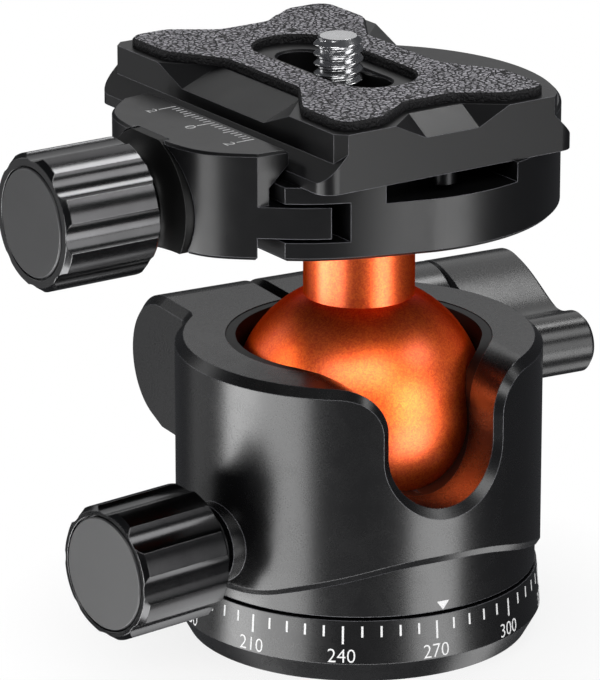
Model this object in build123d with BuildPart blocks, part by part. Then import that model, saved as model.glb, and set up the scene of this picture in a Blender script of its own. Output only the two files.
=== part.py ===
"""Tripod ball head with a pan base, a notched ball housing and a screw-knob dovetail clamp.

Millimetres, +Z up. The origin is the centre of the pan base's underside, on the pan axis.
The housing is square to the axes: its drop notch opens towards -Y, the lock screw runs
along X behind the ball. Everything above the ball is drawn square to a frame that is
turned about Z by clamp_turn, because the ball has turned that far in its seat.
"""

import os
from math import cos, radians, sin

from build123d import *

# ---------------------------------------------------------------- driving dimensions
fit_gap = 0.05          # radial gap of a shaft in its hole, and between sliding faces
free_gap = 0.3          # gap between pieces that pass each other
ball_gap = 0.1          # gap between the ball and its plastic seats

# pan base
base_bottom_inset = 1.55
base_edge_proud = 0.05
base_edge_height = 2.9
base_top_inset = 0.45
base_height = 8.6
collar_wall = 1.7
collar_height = 10.6
foot_recess_inner = 10.0
foot_recess_outer = 18.0
foot_recess_depth = 1.0
hub_radius = 8.5
hub_above_clip = 0.45
hub_edge_chamfer = 0.3
clip_thickness = 0.7
clip_radius = 10.3
clip_groove_depth = 0.8
clip_opening = 60
washer_thickness = 0.65
washer_radius = 11.6
glide_thickness = 0.35
glide_bore_radius = 9.0
glide_edge_gap = 0.9
tripod_thread_radius = 4.7625
tripod_thread_depth = 10.0
insert_wall = 1.9
insert_slot_width = 1.2
insert_slot_depth = 1.0

# housing
housing_radius = 23.75
housing_top_rise = 9.1              # the rise, drops and reaches below count from the ball's centre
housing_edge_chamfer = 1.1
web_thickness = 2.1
skirt_step = 0.7
skirt_wall = 3.15
skirt_side_height = 10.3
skirt_edge_width = 0.55
skirt_edge_rise = 1.0
# across as a share of the body's radius, and height
skirt_arch = ((0.0, 15.7), (0.276, 15.25), (0.526, 13.7), (0.775, 11.55), (0.952, 10.3))
cup_floor_drop = 8.8
seat_bore_inset = 1.9
slit_width = 2.0
slit_floor_drop = 9.7
slit_offset = -1.0

# ball and stem
ball_radius = 16.4
ball_over_hub = 0.8
neck_radius = 7.2
neck_reach = 27.3
neck_edge_chamfer = 0.4
stem_screw_radius = 3.0
stem_head_radius = 5.0
stem_head_height = 3.6
thrust_ball_radius = 2.8
hex_socket_width = 4.0
hex_socket_depth = 2.0

# plastic seats
liner_wall = 0.7
liner_lip_wall = 1.3
liner_lip_depth = 2.7
liner_lip_taper = 13
seat_ring_drop = 9.6
seat_ring_bore = 11.9
wave_spring_thickness = 0.9

# drop notch in the housing's front
notch_gap = 0.4
mouth_radius = 6.0
liner_notch_gap = 0.15

# lock lugs, screw and lever
lug_length_share = 0.678            # half-length as a share of the body's radius
lug_beyond_body = 1.15
lug_blend_radius = 2.4
lug_underside_drop = 8.6
lock_screw_radius = 3.0
lock_screw_tip_inset = 3.6
lever_body_gap = 1.25
lever_arm_thickness = 13.0
lever_hub_radius = 7.8
lever_arm_length = 17.8
lever_waist_half_height = 3.3
lever_waist_position = 14.6
lever_tip_radius = 4.1
lever_edge = 0.7
lever_shoulder_start = 75
lever_shoulder_sweep = 210
lever_washer_thickness = 0.6
lever_washer_radius = 5.8
lever_neck_radius = 5.8
lever_neck_length = 0.8
lever_cap_radius = 4.2
lever_cap_depth = 2.4
lever_cap_socket_width = 2.5
lever_cap_socket_depth = 1.4

# pan lock
pan_lock_azimuth = 191.5
pan_lock_rise = 7.8
pan_stud_radius = 2.5
pan_plug_length = 1.5
pan_boss_radius = 5.2
pan_boss_root = 2.75
pan_boss_proud = 1.45
pan_boss_to_knob = 3.1
pan_knob_boss_length = 2.2
pan_cap_radius = 7.3

# fluted knobs
knob_radius = 8.7
knob_length = 13.6
knob_flutes = 8
flute_depth = 0.75
flute_radius = 3.6
knob_edge_chamfer = 0.6
knob_boss_radius = 5.4
knob_cap_depth = 1.2
knob_cap_gap = 0.25
knob_cap_proud = 0.15
stud_in_knob = 6.0

# dovetail clamp: heights count from its underside or its deck, x from the pan axis
clamp_turn = 5.5
clamp_radius = 25.6
clamp_seat_gap = 0.1
clamp_deck_rise = 9.5
clamp_edge_chamfer = 0.4
clamp_flank = ((-6.6, 24.7), (-19.7, 20.0))
body_beyond_plate = 1.55
jaw_closing_travel = 0.5
jaw_body_gap = 2.6
jaw_nose_length = 6.5
nose_flank = ((-4.6, 10.7), (-6.2, 5.4))            # x counts from the jaw's shoulder
jaw_shoulder_y = 15.4
jaw_top_rise = 4.1
jaw_tip_rise = 2.3
jaw_tip_cover = 0.15
jaw_wall_gap = 2.55
jaw_half_width = 15.8
tongue_rise = 2.9
tongue_thickness = 4.0
tongue_in_body = 4.8
tongue_gap = 0.5
tongue_end_gap = 2.2
tongue_inner_side = 13.3
jaw_edge_chamfer = 0.35
clamp_screw_radius = 3.0
clamp_screw_end = -6.5
clamp_knob_gap = 2.9
clamp_cap_radius = 6.9
clamp_washer_radius = 7.6
clamp_washer_thickness = 0.9
jaw_recess_radius = 9.4
jaw_recess_depth = 1.4
guide_pin_radius = 1.5
guide_pin_spacing = 20.0
guide_pin_in_body = 5.0
guide_pin_in_jaw = 3.6
spring_radius = 1.95
spring_wire_radius = 0.3
spring_turns = 4
spring_wire_sides = 6
spring_pocket_radius = 2.5
spring_in_jaw = 1.5
spring_in_body = 2.9
spring_pocket_depth = 3.6
fixed_jaw_rise = 3.8
fixed_jaw_tip_thickness = 1.0
channel_half_width = 9.4
channel_depth = 2.5
channel_inner_end = 12.0
channel_corner_radius = 1.2

# quick-release plate
dovetail_width = 38.2
plate_flare = 2.2
plate_length = 52.0
plate_thickness = 7.35
plate_centre_x = -2.55
plate_centre_y = 2.1
lip_height = 1.4
plate_corner_chamfer = 1.3
side_notch_top = 15.0
side_notch_bottom = 9.3
side_notch_depth = 5.5
end_notch_top = 8.6
end_notch_bottom = 4.0
end_notch_depth = 3.8
notch_height = 2.2
plate_slot_radius = 3.25
plate_slot_half_length = 7.2
plate_slot_chamfer = 0.3
plate_slot_pocket_radius = 7.4
plate_slot_pocket_depth = 3.0
stop_screw_inset = 2.0
stop_screw_radius = 1.7
stop_screw_drop = 1.6
stop_screw_shank_radius = 1.0
stop_screw_shank_length = 3.0

# rubber pad on the plate
pad_thickness = 1.1
pad_side_border = 1.3
pad_end_border = 1.2
pad_side_dip = 4.7
pad_end_dip = 3.9
pad_corner_radius = 2.4
pad_waist_radius = 3.0
pad_side_straight = 8.0
pad_side_lobe = 15.6
pad_end_straight = 3.6
pad_end_lobe = 9.4
pad_slot_radius = 5.7
pad_slot_half_length = 8.2
pad_edge_chamfer = 0.3

# camera screw
camera_screw_radius = 3.175
camera_screw_proud = 3.5
camera_screw_offset = -1.0
camera_screw_tip_chamfer = 0.7
camera_screw_neck_radius = 2.6
camera_screw_thread_gap = 0.1
camera_head_radius = 6.6
camera_head_height = 2.0
coin_slot_width = 1.6
coin_slot_depth = 1.2
keeper_radius = 5.4
keeper_thickness = 0.7

# ---------------------------------------------------------------- derived dimensions
skirt_radius = housing_radius - skirt_step
collar_outer_radius = skirt_radius - skirt_wall - free_gap
collar_inner_radius = collar_outer_radius - collar_wall
collar_top = base_height + collar_height
insert_radius = tripod_thread_radius + insert_wall
housing_bottom = base_height + glide_thickness + fit_gap
web_top = housing_bottom + web_thickness
clip_bottom = web_top + washer_thickness + 2 * fit_gap
clip_top = clip_bottom + clip_thickness
hub_top = clip_top + hub_above_clip
ball_height = hub_top + ball_over_hub + ball_radius
ball_seat_radius = ball_radius + ball_gap
cup_radius = ball_seat_radius + liner_wall
cup_floor = ball_height - cup_floor_drop
slit_floor = ball_height - slit_floor_drop
seat_ring_top = ball_height - seat_ring_drop
liner_lip_radius = cup_radius - liner_lip_wall
seat_bore_radius = ball_radius - seat_bore_inset
notch_half_width = neck_radius + notch_gap
housing_top = ball_height + housing_top_rise
housing_height = housing_top - housing_bottom
lug_half_length = lug_length_share * housing_radius
lug_reach = housing_radius + lug_beyond_body
lug_underside = ball_height - lug_underside_drop
lock_screw_tip = lug_half_length - lock_screw_tip_inset
lock_hole_radius = lock_screw_radius + fit_gap
lever_hub_start = lug_half_length + lever_washer_thickness + 2 * fit_gap
lever_arm_start = housing_radius + lever_body_gap
lever_outer_end = lever_arm_start + lever_arm_thickness
pan_lock_height = base_height + pan_lock_rise
pan_plug_face = collar_outer_radius + fit_gap
pan_stud_start = pan_plug_face + pan_plug_length + fit_gap
pan_boss_end = housing_radius + pan_boss_proud
pan_knob_start = pan_boss_end + pan_boss_to_knob
neck_top = ball_height + neck_reach
clamp_bottom = neck_top + clamp_seat_gap
clamp_deck = clamp_bottom + clamp_deck_rise
plate_bottom = clamp_deck + fit_gap
plate_width = dovetail_width - 2 * plate_flare
plate_left = plate_centre_x - dovetail_width / 2
stem_hole_radius = stem_screw_radius + fit_gap
stem_head_bottom = clamp_deck - free_gap - stem_head_height
stem_screw_tip = ball_height + thrust_ball_radius + fit_gap
body_left_face = plate_left - body_beyond_plate
jaw_shoulder_x = body_left_face - jaw_body_gap
jaw_nose = jaw_shoulder_x - jaw_nose_length
jaw_top = clamp_deck + jaw_top_rise
jaw_tip_bottom = clamp_deck + jaw_tip_rise
jaw_tip_x = plate_left + jaw_tip_cover
jaw_wall_x = plate_left - jaw_wall_gap
jaw_wall_top = jaw_tip_bottom - (jaw_tip_x - jaw_wall_x)
tongue_bottom = clamp_bottom + tongue_rise
tongue_top = tongue_bottom + tongue_thickness
tongue_end = body_left_face + tongue_in_body
clamp_screw_height = tongue_bottom + tongue_thickness / 2
clamp_hole_radius = clamp_screw_radius + fit_gap
clamp_knob_start = -jaw_nose + clamp_knob_gap
spot_face_x = jaw_nose + jaw_recess_depth
guide_pin_end = body_left_face + guide_pin_in_body
closing_room = jaw_closing_travel + free_gap
fixed_jaw_top = clamp_deck + fixed_jaw_rise
fixed_wall_x = plate_centre_x + dovetail_width / 2 + free_gap
fixed_slope_start = plate_bottom + lip_height
fixed_tip_bottom = fixed_jaw_top - fixed_jaw_tip_thickness
fixed_tip_x = fixed_wall_x - (fixed_tip_bottom - fixed_slope_start)
stop_screw_reach = plate_length / 2 - stop_screw_inset
pad_half_width = plate_width / 2 - pad_side_border
pad_half_length = plate_length / 2 - pad_end_border
pad_side_waist = pad_half_width - pad_side_dip
pad_end_waist = pad_half_length - pad_end_dip
keeper_bottom = plate_slot_pocket_depth - keeper_thickness - fit_gap
camera_head_top = keeper_bottom - fit_gap
camera_screw_top = plate_thickness + pad_thickness + camera_screw_proud
camera_thread_start = plate_thickness + camera_screw_thread_gap
outside = 2 * housing_radius            # reach of a cut that passes right through the part
far = 2 * outside

# ---------------------------------------------------------------- frames and shared shapes
clamp_frame = Location((0, 0, 0), (0, 0, clamp_turn))
pan_lock_angle = radians(pan_lock_azimuth)
pan_lock_axis = Plane(
    origin=(0, 0, pan_lock_height), x_dir=(0, 0, 1), z_dir=(cos(pan_lock_angle), sin(pan_lock_angle), 0)
)


def on_clamp(plane):
    """The same plane in the clamp's turned frame."""
    return Plane(clamp_frame * plane.location)


clamp_level = on_clamp(Plane.XY)
clamp_front = on_clamp(Plane.XZ)
clamp_screw_axis = on_clamp(Plane(origin=(0, 0, clamp_screw_height), x_dir=(0, 0, 1), z_dir=(-1, 0, 0)))
plate_level = on_clamp(Plane(origin=(plate_centre_x, plate_centre_y, plate_bottom)))
plate_front = on_clamp(
    Plane(origin=(plate_centre_x, plate_centre_y, plate_bottom), x_dir=(1, 0, 0), z_dir=(0, -1, 0))
)


# a disc about the neck on the right, drawn out on the left to a blunt nose
jaw_flank = (
    *clamp_flank,
    (jaw_shoulder_x, jaw_shoulder_y),
    *((jaw_shoulder_x + x, y) for x, y in nose_flank),
)
with BuildSketch() as clamp_outline:
    with BuildLine():
        disc = CenterArc((0, 0), clamp_radius, -100, 200)
        Spline(
            disc @ 1, *jaw_flank, (jaw_nose, 0), *((x, -y) for x, y in reversed(jaw_flank)), disc @ 0,
            tangents=(disc % 1, disc % 0),
        )
    make_face()


def half_plane(x_limit):
    """Clears the sketch left of x_limit."""
    with Locations((x_limit, 0)):
        Rectangle(far, far, align=(Align.MAX, Align.CENTER), mode=Mode.SUBTRACT)


def fluted_knob(axis, start, boss_length, cap_radius, bore_radius):
    """A knob on an axis plane, its body starting at start and its boss reaching back towards zero."""
    with BuildPart() as knob:
        with BuildSketch(axis.offset(start)):
            Circle(knob_radius)
        extrude(amount=knob_length)
        chamfer(knob.edges().filter_by(GeomType.CIRCLE), length=knob_edge_chamfer)
        with BuildSketch(axis.offset(start)):
            with PolarLocations(knob_radius + flute_radius - flute_depth, knob_flutes):
                Circle(flute_radius)
        extrude(amount=knob_length, mode=Mode.SUBTRACT)
        with BuildSketch(axis.offset(start)):
            Circle(knob_boss_radius)
        extrude(amount=-boss_length)
        with BuildSketch(axis.offset(start + knob_length)):
            Circle(cap_radius + knob_cap_gap)
        extrude(amount=-knob_cap_depth, mode=Mode.SUBTRACT)
        with BuildSketch(axis.offset(start - boss_length)):
            Circle(bore_radius)
        extrude(amount=boss_length + stud_in_knob + free_gap, mode=Mode.SUBTRACT)
    return knob


def knob_cap(axis, start, cap_radius):
    """The disc that closes a knob's outer end, standing slightly proud of its rim."""
    with BuildPart() as cap:
        with BuildSketch(axis.offset(start + knob_length - knob_cap_depth + fit_gap)):
            Circle(cap_radius)
        extrude(amount=knob_cap_depth - fit_gap + knob_cap_proud)
        chamfer(cap.edges().group_by(axis_through(axis))[-1], length=knob_cap_proud)
    return cap


def axis_through(plane):
    """The axis that runs through a plane's origin along its normal."""
    return Axis(plane.origin, plane.z_dir)


# ---------------------------------------------------------------- pan base
with BuildPart() as pan_base:
    with BuildSketch(Plane.XZ):
        with BuildLine():
            Polyline(
                (0, base_height),
                (0, 0),
                (foot_recess_inner, 0),
                (foot_recess_inner, foot_recess_depth),
                (foot_recess_outer, foot_recess_depth),
                (foot_recess_outer, 0),
                (housing_radius - base_bottom_inset, 0),
                (housing_radius + base_edge_proud, base_edge_height),
                (housing_radius - base_top_inset, base_height),
                (collar_outer_radius, base_height),
                (collar_outer_radius, collar_top),
                (collar_inner_radius, collar_top),
                (collar_inner_radius, base_height),
                (hub_radius, base_height),
                (hub_radius, clip_bottom - fit_gap),
                (hub_radius - clip_groove_depth, clip_bottom - fit_gap),
                (hub_radius - clip_groove_depth, clip_top + fit_gap),
                (hub_radius, clip_top + fit_gap),
                (hub_radius, hub_top - hub_edge_chamfer),
                (hub_radius - hub_edge_chamfer, hub_top),
                (0, hub_top),
                (0, base_height),
            )
        make_face()
    revolve(axis=Axis.Z)
    with BuildSketch(Plane.XY):
        Circle(insert_radius + fit_gap)
    extrude(amount=tripod_thread_depth + fit_gap, mode=Mode.SUBTRACT)

with BuildPart() as base_thread_insert:
    with BuildSketch(Plane.XY):
        Circle(insert_radius)
        Circle(tripod_thread_radius, mode=Mode.SUBTRACT)
    extrude(amount=tripod_thread_depth)
    with BuildSketch(Plane.XY):
        Rectangle(outside, insert_slot_width)
    extrude(amount=insert_slot_depth, mode=Mode.SUBTRACT)

with BuildPart() as pan_glide_washer:
    with BuildSketch(Plane.XY.offset(base_height)):
        Circle(collar_inner_radius - glide_edge_gap)
        Circle(glide_bore_radius, mode=Mode.SUBTRACT)
    extrude(amount=glide_thickness)

with BuildPart() as pan_spring_washer:
    with BuildSketch(Plane.XY.offset(web_top + fit_gap)):
        Circle(washer_radius)
        Circle(hub_radius + fit_gap, mode=Mode.SUBTRACT)
    extrude(amount=washer_thickness)

with BuildPart() as pan_circlip:
    with BuildSketch(Plane.XY.offset(clip_bottom)):
        Circle(clip_radius)
        Circle(hub_radius - clip_groove_depth + fit_gap, mode=Mode.SUBTRACT)
        with BuildLine():
            opening = CenterArc((0, 0), outside, -clip_opening / 2, clip_opening)
            Polyline(opening @ 0, (0, 0), opening @ 1)
        make_face(mode=Mode.SUBTRACT)
    extrude(amount=clip_thickness)

# ---------------------------------------------------------------- housing
# The skirt steps in from the body under a ledge that arches up at the front.
with BuildPart() as skirt_relief:
    with BuildSketch(Plane.XZ):
        with BuildLine():
            half_arch = [(share * housing_radius, z) for share, z in skirt_arch]
            arch = Spline(
                *((-x, z) for x, z in reversed(half_arch[1:])), *half_arch, tangents=((1, 0), (1, 0))
            )
            Polyline(
                arch @ 1,
                (outside, skirt_side_height),
                (outside, 0),
                (-outside, 0),
                (-outside, skirt_side_height),
                arch @ 0,
            )
        make_face()
    extrude(amount=outside)
    with BuildSketch(Plane.XY):
        Rectangle(2 * outside, outside, align=(Align.CENTER, Align.MIN))
    extrude(amount=skirt_side_height)
    with BuildSketch(Plane.XY):
        Circle(skirt_radius)
    extrude(amount=housing_top, mode=Mode.SUBTRACT)


def on_body_rim(low, high):
    """Picks edges that lie on the body's outer wall between two heights."""
    return lambda edge: all(
        abs(edge.position_at(t).X ** 2 + edge.position_at(t).Y ** 2 - housing_radius ** 2) < fit_gap
        and low < edge.position_at(t).Z < high
        for t in (0.1, 0.5, 0.9)
    )


with BuildPart() as housing:
    with BuildSketch(Plane.XY.offset(housing_bottom)):
        Circle(housing_radius)
    extrude(amount=housing_height)
    add(skirt_relief.part, mode=Mode.SUBTRACT)
    chamfer(
        housing.edges().filter_by(on_body_rim(housing_bottom, ball_height)),
        length=skirt_edge_rise,
        length2=skirt_edge_width,
        reference=housing.faces().filter_by(GeomType.CYLINDER).sort_by(SortBy.AREA)[-1],
    )
    # lock lugs: a block behind the body whose back is round about the lock screw
    with BuildSketch(Plane.XY.offset(lug_underside)):
        Circle(housing_radius)
        Rectangle(2 * lug_half_length, lug_reach + housing_top_rise, align=(Align.CENTER, Align.MIN))
        fillet(vertices().filter_by(lambda v: fit_gap < v.Y < lug_reach), radius=lug_blend_radius)
    extrude(amount=housing_top - lug_underside)
    with BuildSketch(Plane.YZ):
        with Locations((lug_reach, ball_height)):
            Rectangle(2 * housing_top_rise, 2 * housing_top_rise, align=(Align.MIN, Align.CENTER))
            Circle(housing_top_rise, mode=Mode.SUBTRACT)
    extrude(amount=lug_half_length, both=True, mode=Mode.SUBTRACT)
    # drop notch, open at the top, with flared lips
    with BuildSketch(Plane.XZ):
        with Locations((0, ball_height)):
            Circle(notch_half_width)
            Rectangle(2 * notch_half_width, housing_top - ball_height, align=(Align.CENTER, Align.MIN))
        for side in (-1, 1):
            with Locations((side * (notch_half_width + mouth_radius / 2), housing_top - mouth_radius / 2)):
                Rectangle(mouth_radius, mouth_radius)
            with Locations((side * (notch_half_width + mouth_radius), housing_top - mouth_radius)):
                Circle(mouth_radius, mode=Mode.SUBTRACT)
    extrude(amount=outside, mode=Mode.SUBTRACT)
    # cup for the ball and its seats, ring for the base's collar, bore for the hub
    with BuildSketch(Plane.XY.offset(cup_floor)):
        Circle(cup_radius)
    extrude(amount=housing_height, mode=Mode.SUBTRACT)
    with BuildSketch(Plane.XY.offset(web_top)):
        Circle(seat_bore_radius)
    extrude(amount=housing_height, mode=Mode.SUBTRACT)
    with BuildSketch(Plane.XY):
        Circle(hub_radius + fit_gap)
    extrude(amount=housing_height, mode=Mode.SUBTRACT)
    with BuildSketch(Plane.XY):
        Circle(collar_outer_radius + free_gap)
        Circle(collar_inner_radius - free_gap, mode=Mode.SUBTRACT)
    extrude(amount=collar_top + free_gap, mode=Mode.SUBTRACT)
    chamfer(
        housing.edges().filter_by(on_body_rim(ball_height, housing_top + fit_gap)),
        length=housing_edge_chamfer,
    )
    # boss and bore for the pan lock
    with BuildSketch(pan_lock_axis.offset(pan_boss_end)):
        Circle(pan_boss_radius)
    extrude(amount=-pan_boss_root - pan_boss_proud)
    with BuildSketch(pan_lock_axis.offset(collar_inner_radius)):
        Circle(pan_stud_radius + fit_gap)
    extrude(amount=pan_boss_end, mode=Mode.SUBTRACT)
    # slit that lets the lugs close, and the lock screw's bore across it
    with BuildSketch(Plane.XY.offset(slit_floor)):
        with Locations((slit_offset, seat_bore_radius)):
            Rectangle(slit_width, outside, align=(Align.CENTER, Align.MIN))
    extrude(amount=housing_height, mode=Mode.SUBTRACT)
    with BuildSketch(Plane.YZ.offset(-lock_screw_tip - free_gap)):
        with Locations((lug_reach, ball_height)):
            Circle(lock_hole_radius)
    extrude(amount=outside, mode=Mode.SUBTRACT)

# ---------------------------------------------------------------- plastic seats
with BuildPart() as ball_liner:
    with BuildSketch(Plane.XY.offset(cup_floor + ball_gap)):
        Circle(cup_radius - fit_gap)
    extrude(amount=housing_top - cup_floor - 2 * ball_gap)
    with Locations((0, 0, ball_height)):
        Sphere(ball_seat_radius, mode=Mode.SUBTRACT)
    with BuildSketch(Plane.XY.offset(housing_top - ball_gap)):
        Circle(liner_lip_radius)
    extrude(amount=-liner_lip_depth, taper=liner_lip_taper, mode=Mode.SUBTRACT)
    with BuildSketch(Plane.XZ):
        with Locations((0, ball_height)):
            Circle(notch_half_width + liner_notch_gap)
            Rectangle(2 * (notch_half_width + liner_notch_gap), outside, align=(Align.CENTER, Align.MIN))
    extrude(amount=outside, mode=Mode.SUBTRACT)

with BuildPart() as seat_wave_spring:
    with BuildSketch(Plane.XY.offset(web_top + fit_gap)):
        Circle(seat_bore_radius - free_gap)
        Circle(seat_ring_bore + free_gap, mode=Mode.SUBTRACT)
    extrude(amount=wave_spring_thickness)

with BuildPart() as ball_seat_ring:
    with BuildSketch(Plane.XY.offset(web_top + wave_spring_thickness + 2 * fit_gap)):
        Circle(seat_bore_radius - fit_gap)
        Circle(seat_ring_bore, mode=Mode.SUBTRACT)
    extrude(amount=seat_ring_top - web_top - wave_spring_thickness - 2 * fit_gap)
    with Locations((0, 0, ball_height)):
        Sphere(ball_seat_radius, mode=Mode.SUBTRACT)

# ---------------------------------------------------------------- ball and stem
with BuildPart() as ball:
    with Locations((0, 0, ball_height)):
        Sphere(ball_radius)
    with BuildSketch(Plane.XY.offset(ball_height)):
        Circle(neck_radius)
    extrude(amount=neck_top - ball_height)
    chamfer(ball.edges().group_by(Axis.Z)[-1], length=neck_edge_chamfer)
    with BuildSketch(Plane.XY.offset(neck_top)):
        Circle(stem_hole_radius)
    extrude(amount=ball_height - neck_top, mode=Mode.SUBTRACT)
    with Locations((0, 0, ball_height)):
        Sphere(stem_hole_radius, mode=Mode.SUBTRACT)

with BuildPart() as stem_thrust_ball:
    with Locations((0, 0, ball_height)):
        Sphere(thrust_ball_radius)

with BuildPart() as stem_screw:
    with BuildSketch(clamp_level.offset(stem_screw_tip)):
        Circle(stem_screw_radius)
    extrude(amount=stem_head_bottom - stem_screw_tip)
    with BuildSketch(clamp_level.offset(stem_head_bottom)):
        Circle(stem_head_radius)
    extrude(amount=stem_head_height)
    chamfer(stem_screw.edges().group_by(Axis.Z)[-1], length=neck_edge_chamfer)
    with BuildSketch(clamp_level.offset(stem_head_bottom + stem_head_height)):
        RegularPolygon(hex_socket_width / 2, 6, major_radius=False)
    extrude(amount=-hex_socket_depth, mode=Mode.SUBTRACT)

# ---------------------------------------------------------------- lock lever
with BuildPart() as main_lock_screw:
    with BuildSketch(Plane.YZ.offset(-lock_screw_tip)):
        with Locations((lug_reach, ball_height)):
            Circle(lock_screw_radius)
    extrude(amount=lock_screw_tip + lever_outer_end - lever_cap_depth - fit_gap)
    chamfer(main_lock_screw.edges().group_by(Axis.X)[0], length=neck_edge_chamfer)

with BuildPart() as lever_washer:
    with BuildSketch(Plane.YZ.offset(lug_half_length + fit_gap)):
        with Locations((lug_reach, ball_height)):
            Circle(lever_washer_radius)
            Circle(lock_hole_radius, mode=Mode.SUBTRACT)
    extrude(amount=lever_washer_thickness)

lever_face = Plane(origin=(lever_outer_end, lug_reach, ball_height), x_dir=(0, -1, 0), z_dir=(-1, 0, 0))
with BuildPart() as main_lock_lever:
    with BuildSketch(lever_face):
        with BuildLine():
            shoulder = CenterArc(
                (0, 0), lever_hub_radius, lever_shoulder_start, lever_shoulder_sweep
            )
            tip = CenterArc((lever_arm_length, 0), lever_tip_radius, -90, 180)
            upper_waist = (lever_waist_position, lever_waist_half_height)
            lower_waist = (lever_waist_position, -lever_waist_half_height)
            Spline(tip @ 1, upper_waist, shoulder @ 0, tangents=(tip % 1, shoulder % 0))
            Spline(shoulder @ 1, lower_waist, tip @ 0, tangents=(shoulder % 1, tip % 0))
        make_face()
    extrude(amount=lever_outer_end - lever_arm_start)
    chamfer(main_lock_lever.edges().group_by(Axis.X)[-1], length=lever_edge)
    chamfer(main_lock_lever.edges().group_by(Axis.X)[0], length=lever_edge)
    with BuildSketch(lever_face.offset(lever_outer_end - lever_arm_start)):
        Circle(lever_hub_radius)
    extrude(amount=lever_arm_start - lever_hub_start - lever_neck_length)
    with BuildSketch(lever_face.offset(lever_outer_end - lever_hub_start)):
        Circle(lever_neck_radius)
    extrude(amount=-lever_neck_length)
    with BuildSketch(lever_face):
        Circle(lock_hole_radius)
    extrude(amount=lever_outer_end - lever_hub_start, mode=Mode.SUBTRACT)
    with BuildSketch(lever_face):
        Circle(lever_cap_radius + fit_gap)
    extrude(amount=lever_cap_depth, mode=Mode.SUBTRACT)

with BuildPart() as lever_cap_screw:
    with BuildSketch(lever_face):
        Circle(lever_cap_radius)
    extrude(amount=lever_cap_depth - fit_gap)
    with BuildSketch(lever_face):
        RegularPolygon(lever_cap_socket_width / 2, 6, major_radius=False)
    extrude(amount=lever_cap_socket_depth, mode=Mode.SUBTRACT)

# ---------------------------------------------------------------- pan lock
with BuildPart() as pan_brake_plug:
    with BuildSketch(pan_lock_axis.offset(pan_plug_face)):
        Circle(pan_stud_radius)
    extrude(amount=pan_plug_length)

with BuildPart() as pan_lock_stud:
    with BuildSketch(pan_lock_axis.offset(pan_stud_start)):
        Circle(pan_stud_radius)
    extrude(amount=pan_knob_start + stud_in_knob - pan_stud_start)

pan_lock_knob = fluted_knob(
    pan_lock_axis, pan_knob_start, pan_knob_boss_length, pan_cap_radius, pan_stud_radius + fit_gap
)
pan_lock_knob_cap = knob_cap(pan_lock_axis, pan_knob_start, pan_cap_radius)

# ---------------------------------------------------------------- dovetail clamp
with BuildPart() as clamp_body:
    with BuildSketch(clamp_level.offset(clamp_bottom)):
        add(clamp_outline.sketch)
        half_plane(body_left_face)
    extrude(amount=clamp_deck - clamp_bottom)
    with BuildSketch(clamp_level.offset(clamp_deck)):
        add(clamp_outline.sketch)
        half_plane(fixed_tip_x)
    extrude(amount=fixed_jaw_top - clamp_deck)
    chamfer(clamp_body.edges().group_by(Axis.Z)[-1], length=jaw_edge_chamfer)
    chamfer(clamp_body.edges().group_by(Axis.Z)[0], length=clamp_edge_chamfer)
    # undercut of the fixed jaw
    with BuildSketch(clamp_front):
        with BuildLine():
            Polyline(
                (fixed_tip_x - plate_flare, clamp_deck),
                (fixed_wall_x, clamp_deck),
                (fixed_wall_x, fixed_slope_start),
                (fixed_tip_x, fixed_tip_bottom),
                (fixed_tip_x - plate_flare, fixed_tip_bottom),
                close=True,
            )
        make_face()
    extrude(amount=outside, both=True, mode=Mode.SUBTRACT)
    # channels in the deck that the plate's stop screws run in
    with BuildSketch(clamp_level.offset(clamp_deck - channel_depth)):
        for side in (-1, 1):
            with Locations((plate_centre_x, side * (channel_inner_end + outside / 2))):
                RectangleRounded(2 * channel_half_width, outside, channel_corner_radius)
    extrude(amount=channel_depth, mode=Mode.SUBTRACT)
    # grooves for the jaw's tongues
    with BuildSketch(clamp_level.offset(tongue_bottom - tongue_gap)):
        for side in (-1, 1):
            groove_middle = side * (tongue_inner_side - free_gap + outside / 2)
            with Locations((tongue_end + tongue_end_gap, groove_middle)):
                Rectangle(outside, outside, align=(Align.MAX, Align.CENTER))
    extrude(amount=tongue_top - tongue_bottom + 2 * tongue_gap, mode=Mode.SUBTRACT)
    # bores for the stem screw, the clamp screw, the guide pins and their springs
    with BuildSketch(clamp_level.offset(clamp_bottom)):
        Circle(stem_hole_radius)
    extrude(amount=clamp_deck - clamp_bottom, mode=Mode.SUBTRACT)
    with BuildSketch(clamp_level.offset(stem_head_bottom - fit_gap)):
        Circle(stem_head_radius + fit_gap)
    extrude(amount=clamp_deck - stem_head_bottom + fit_gap, mode=Mode.SUBTRACT)
    with BuildSketch(clamp_screw_axis.offset(-clamp_screw_end - closing_room)):
        Circle(clamp_hole_radius)
    extrude(amount=outside, mode=Mode.SUBTRACT)
    with BuildSketch(clamp_screw_axis.offset(-guide_pin_end - closing_room)):
        with Locations((0, guide_pin_spacing / 2), (0, -guide_pin_spacing / 2)):
            Circle(guide_pin_radius + fit_gap)
    extrude(amount=outside, mode=Mode.SUBTRACT)
    with BuildSketch(clamp_screw_axis.offset(-body_left_face - spring_pocket_depth)):
        with Locations((0, guide_pin_spacing / 2), (0, -guide_pin_spacing / 2)):
            Circle(spring_pocket_radius)
    extrude(amount=outside, mode=Mode.SUBTRACT)

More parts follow.
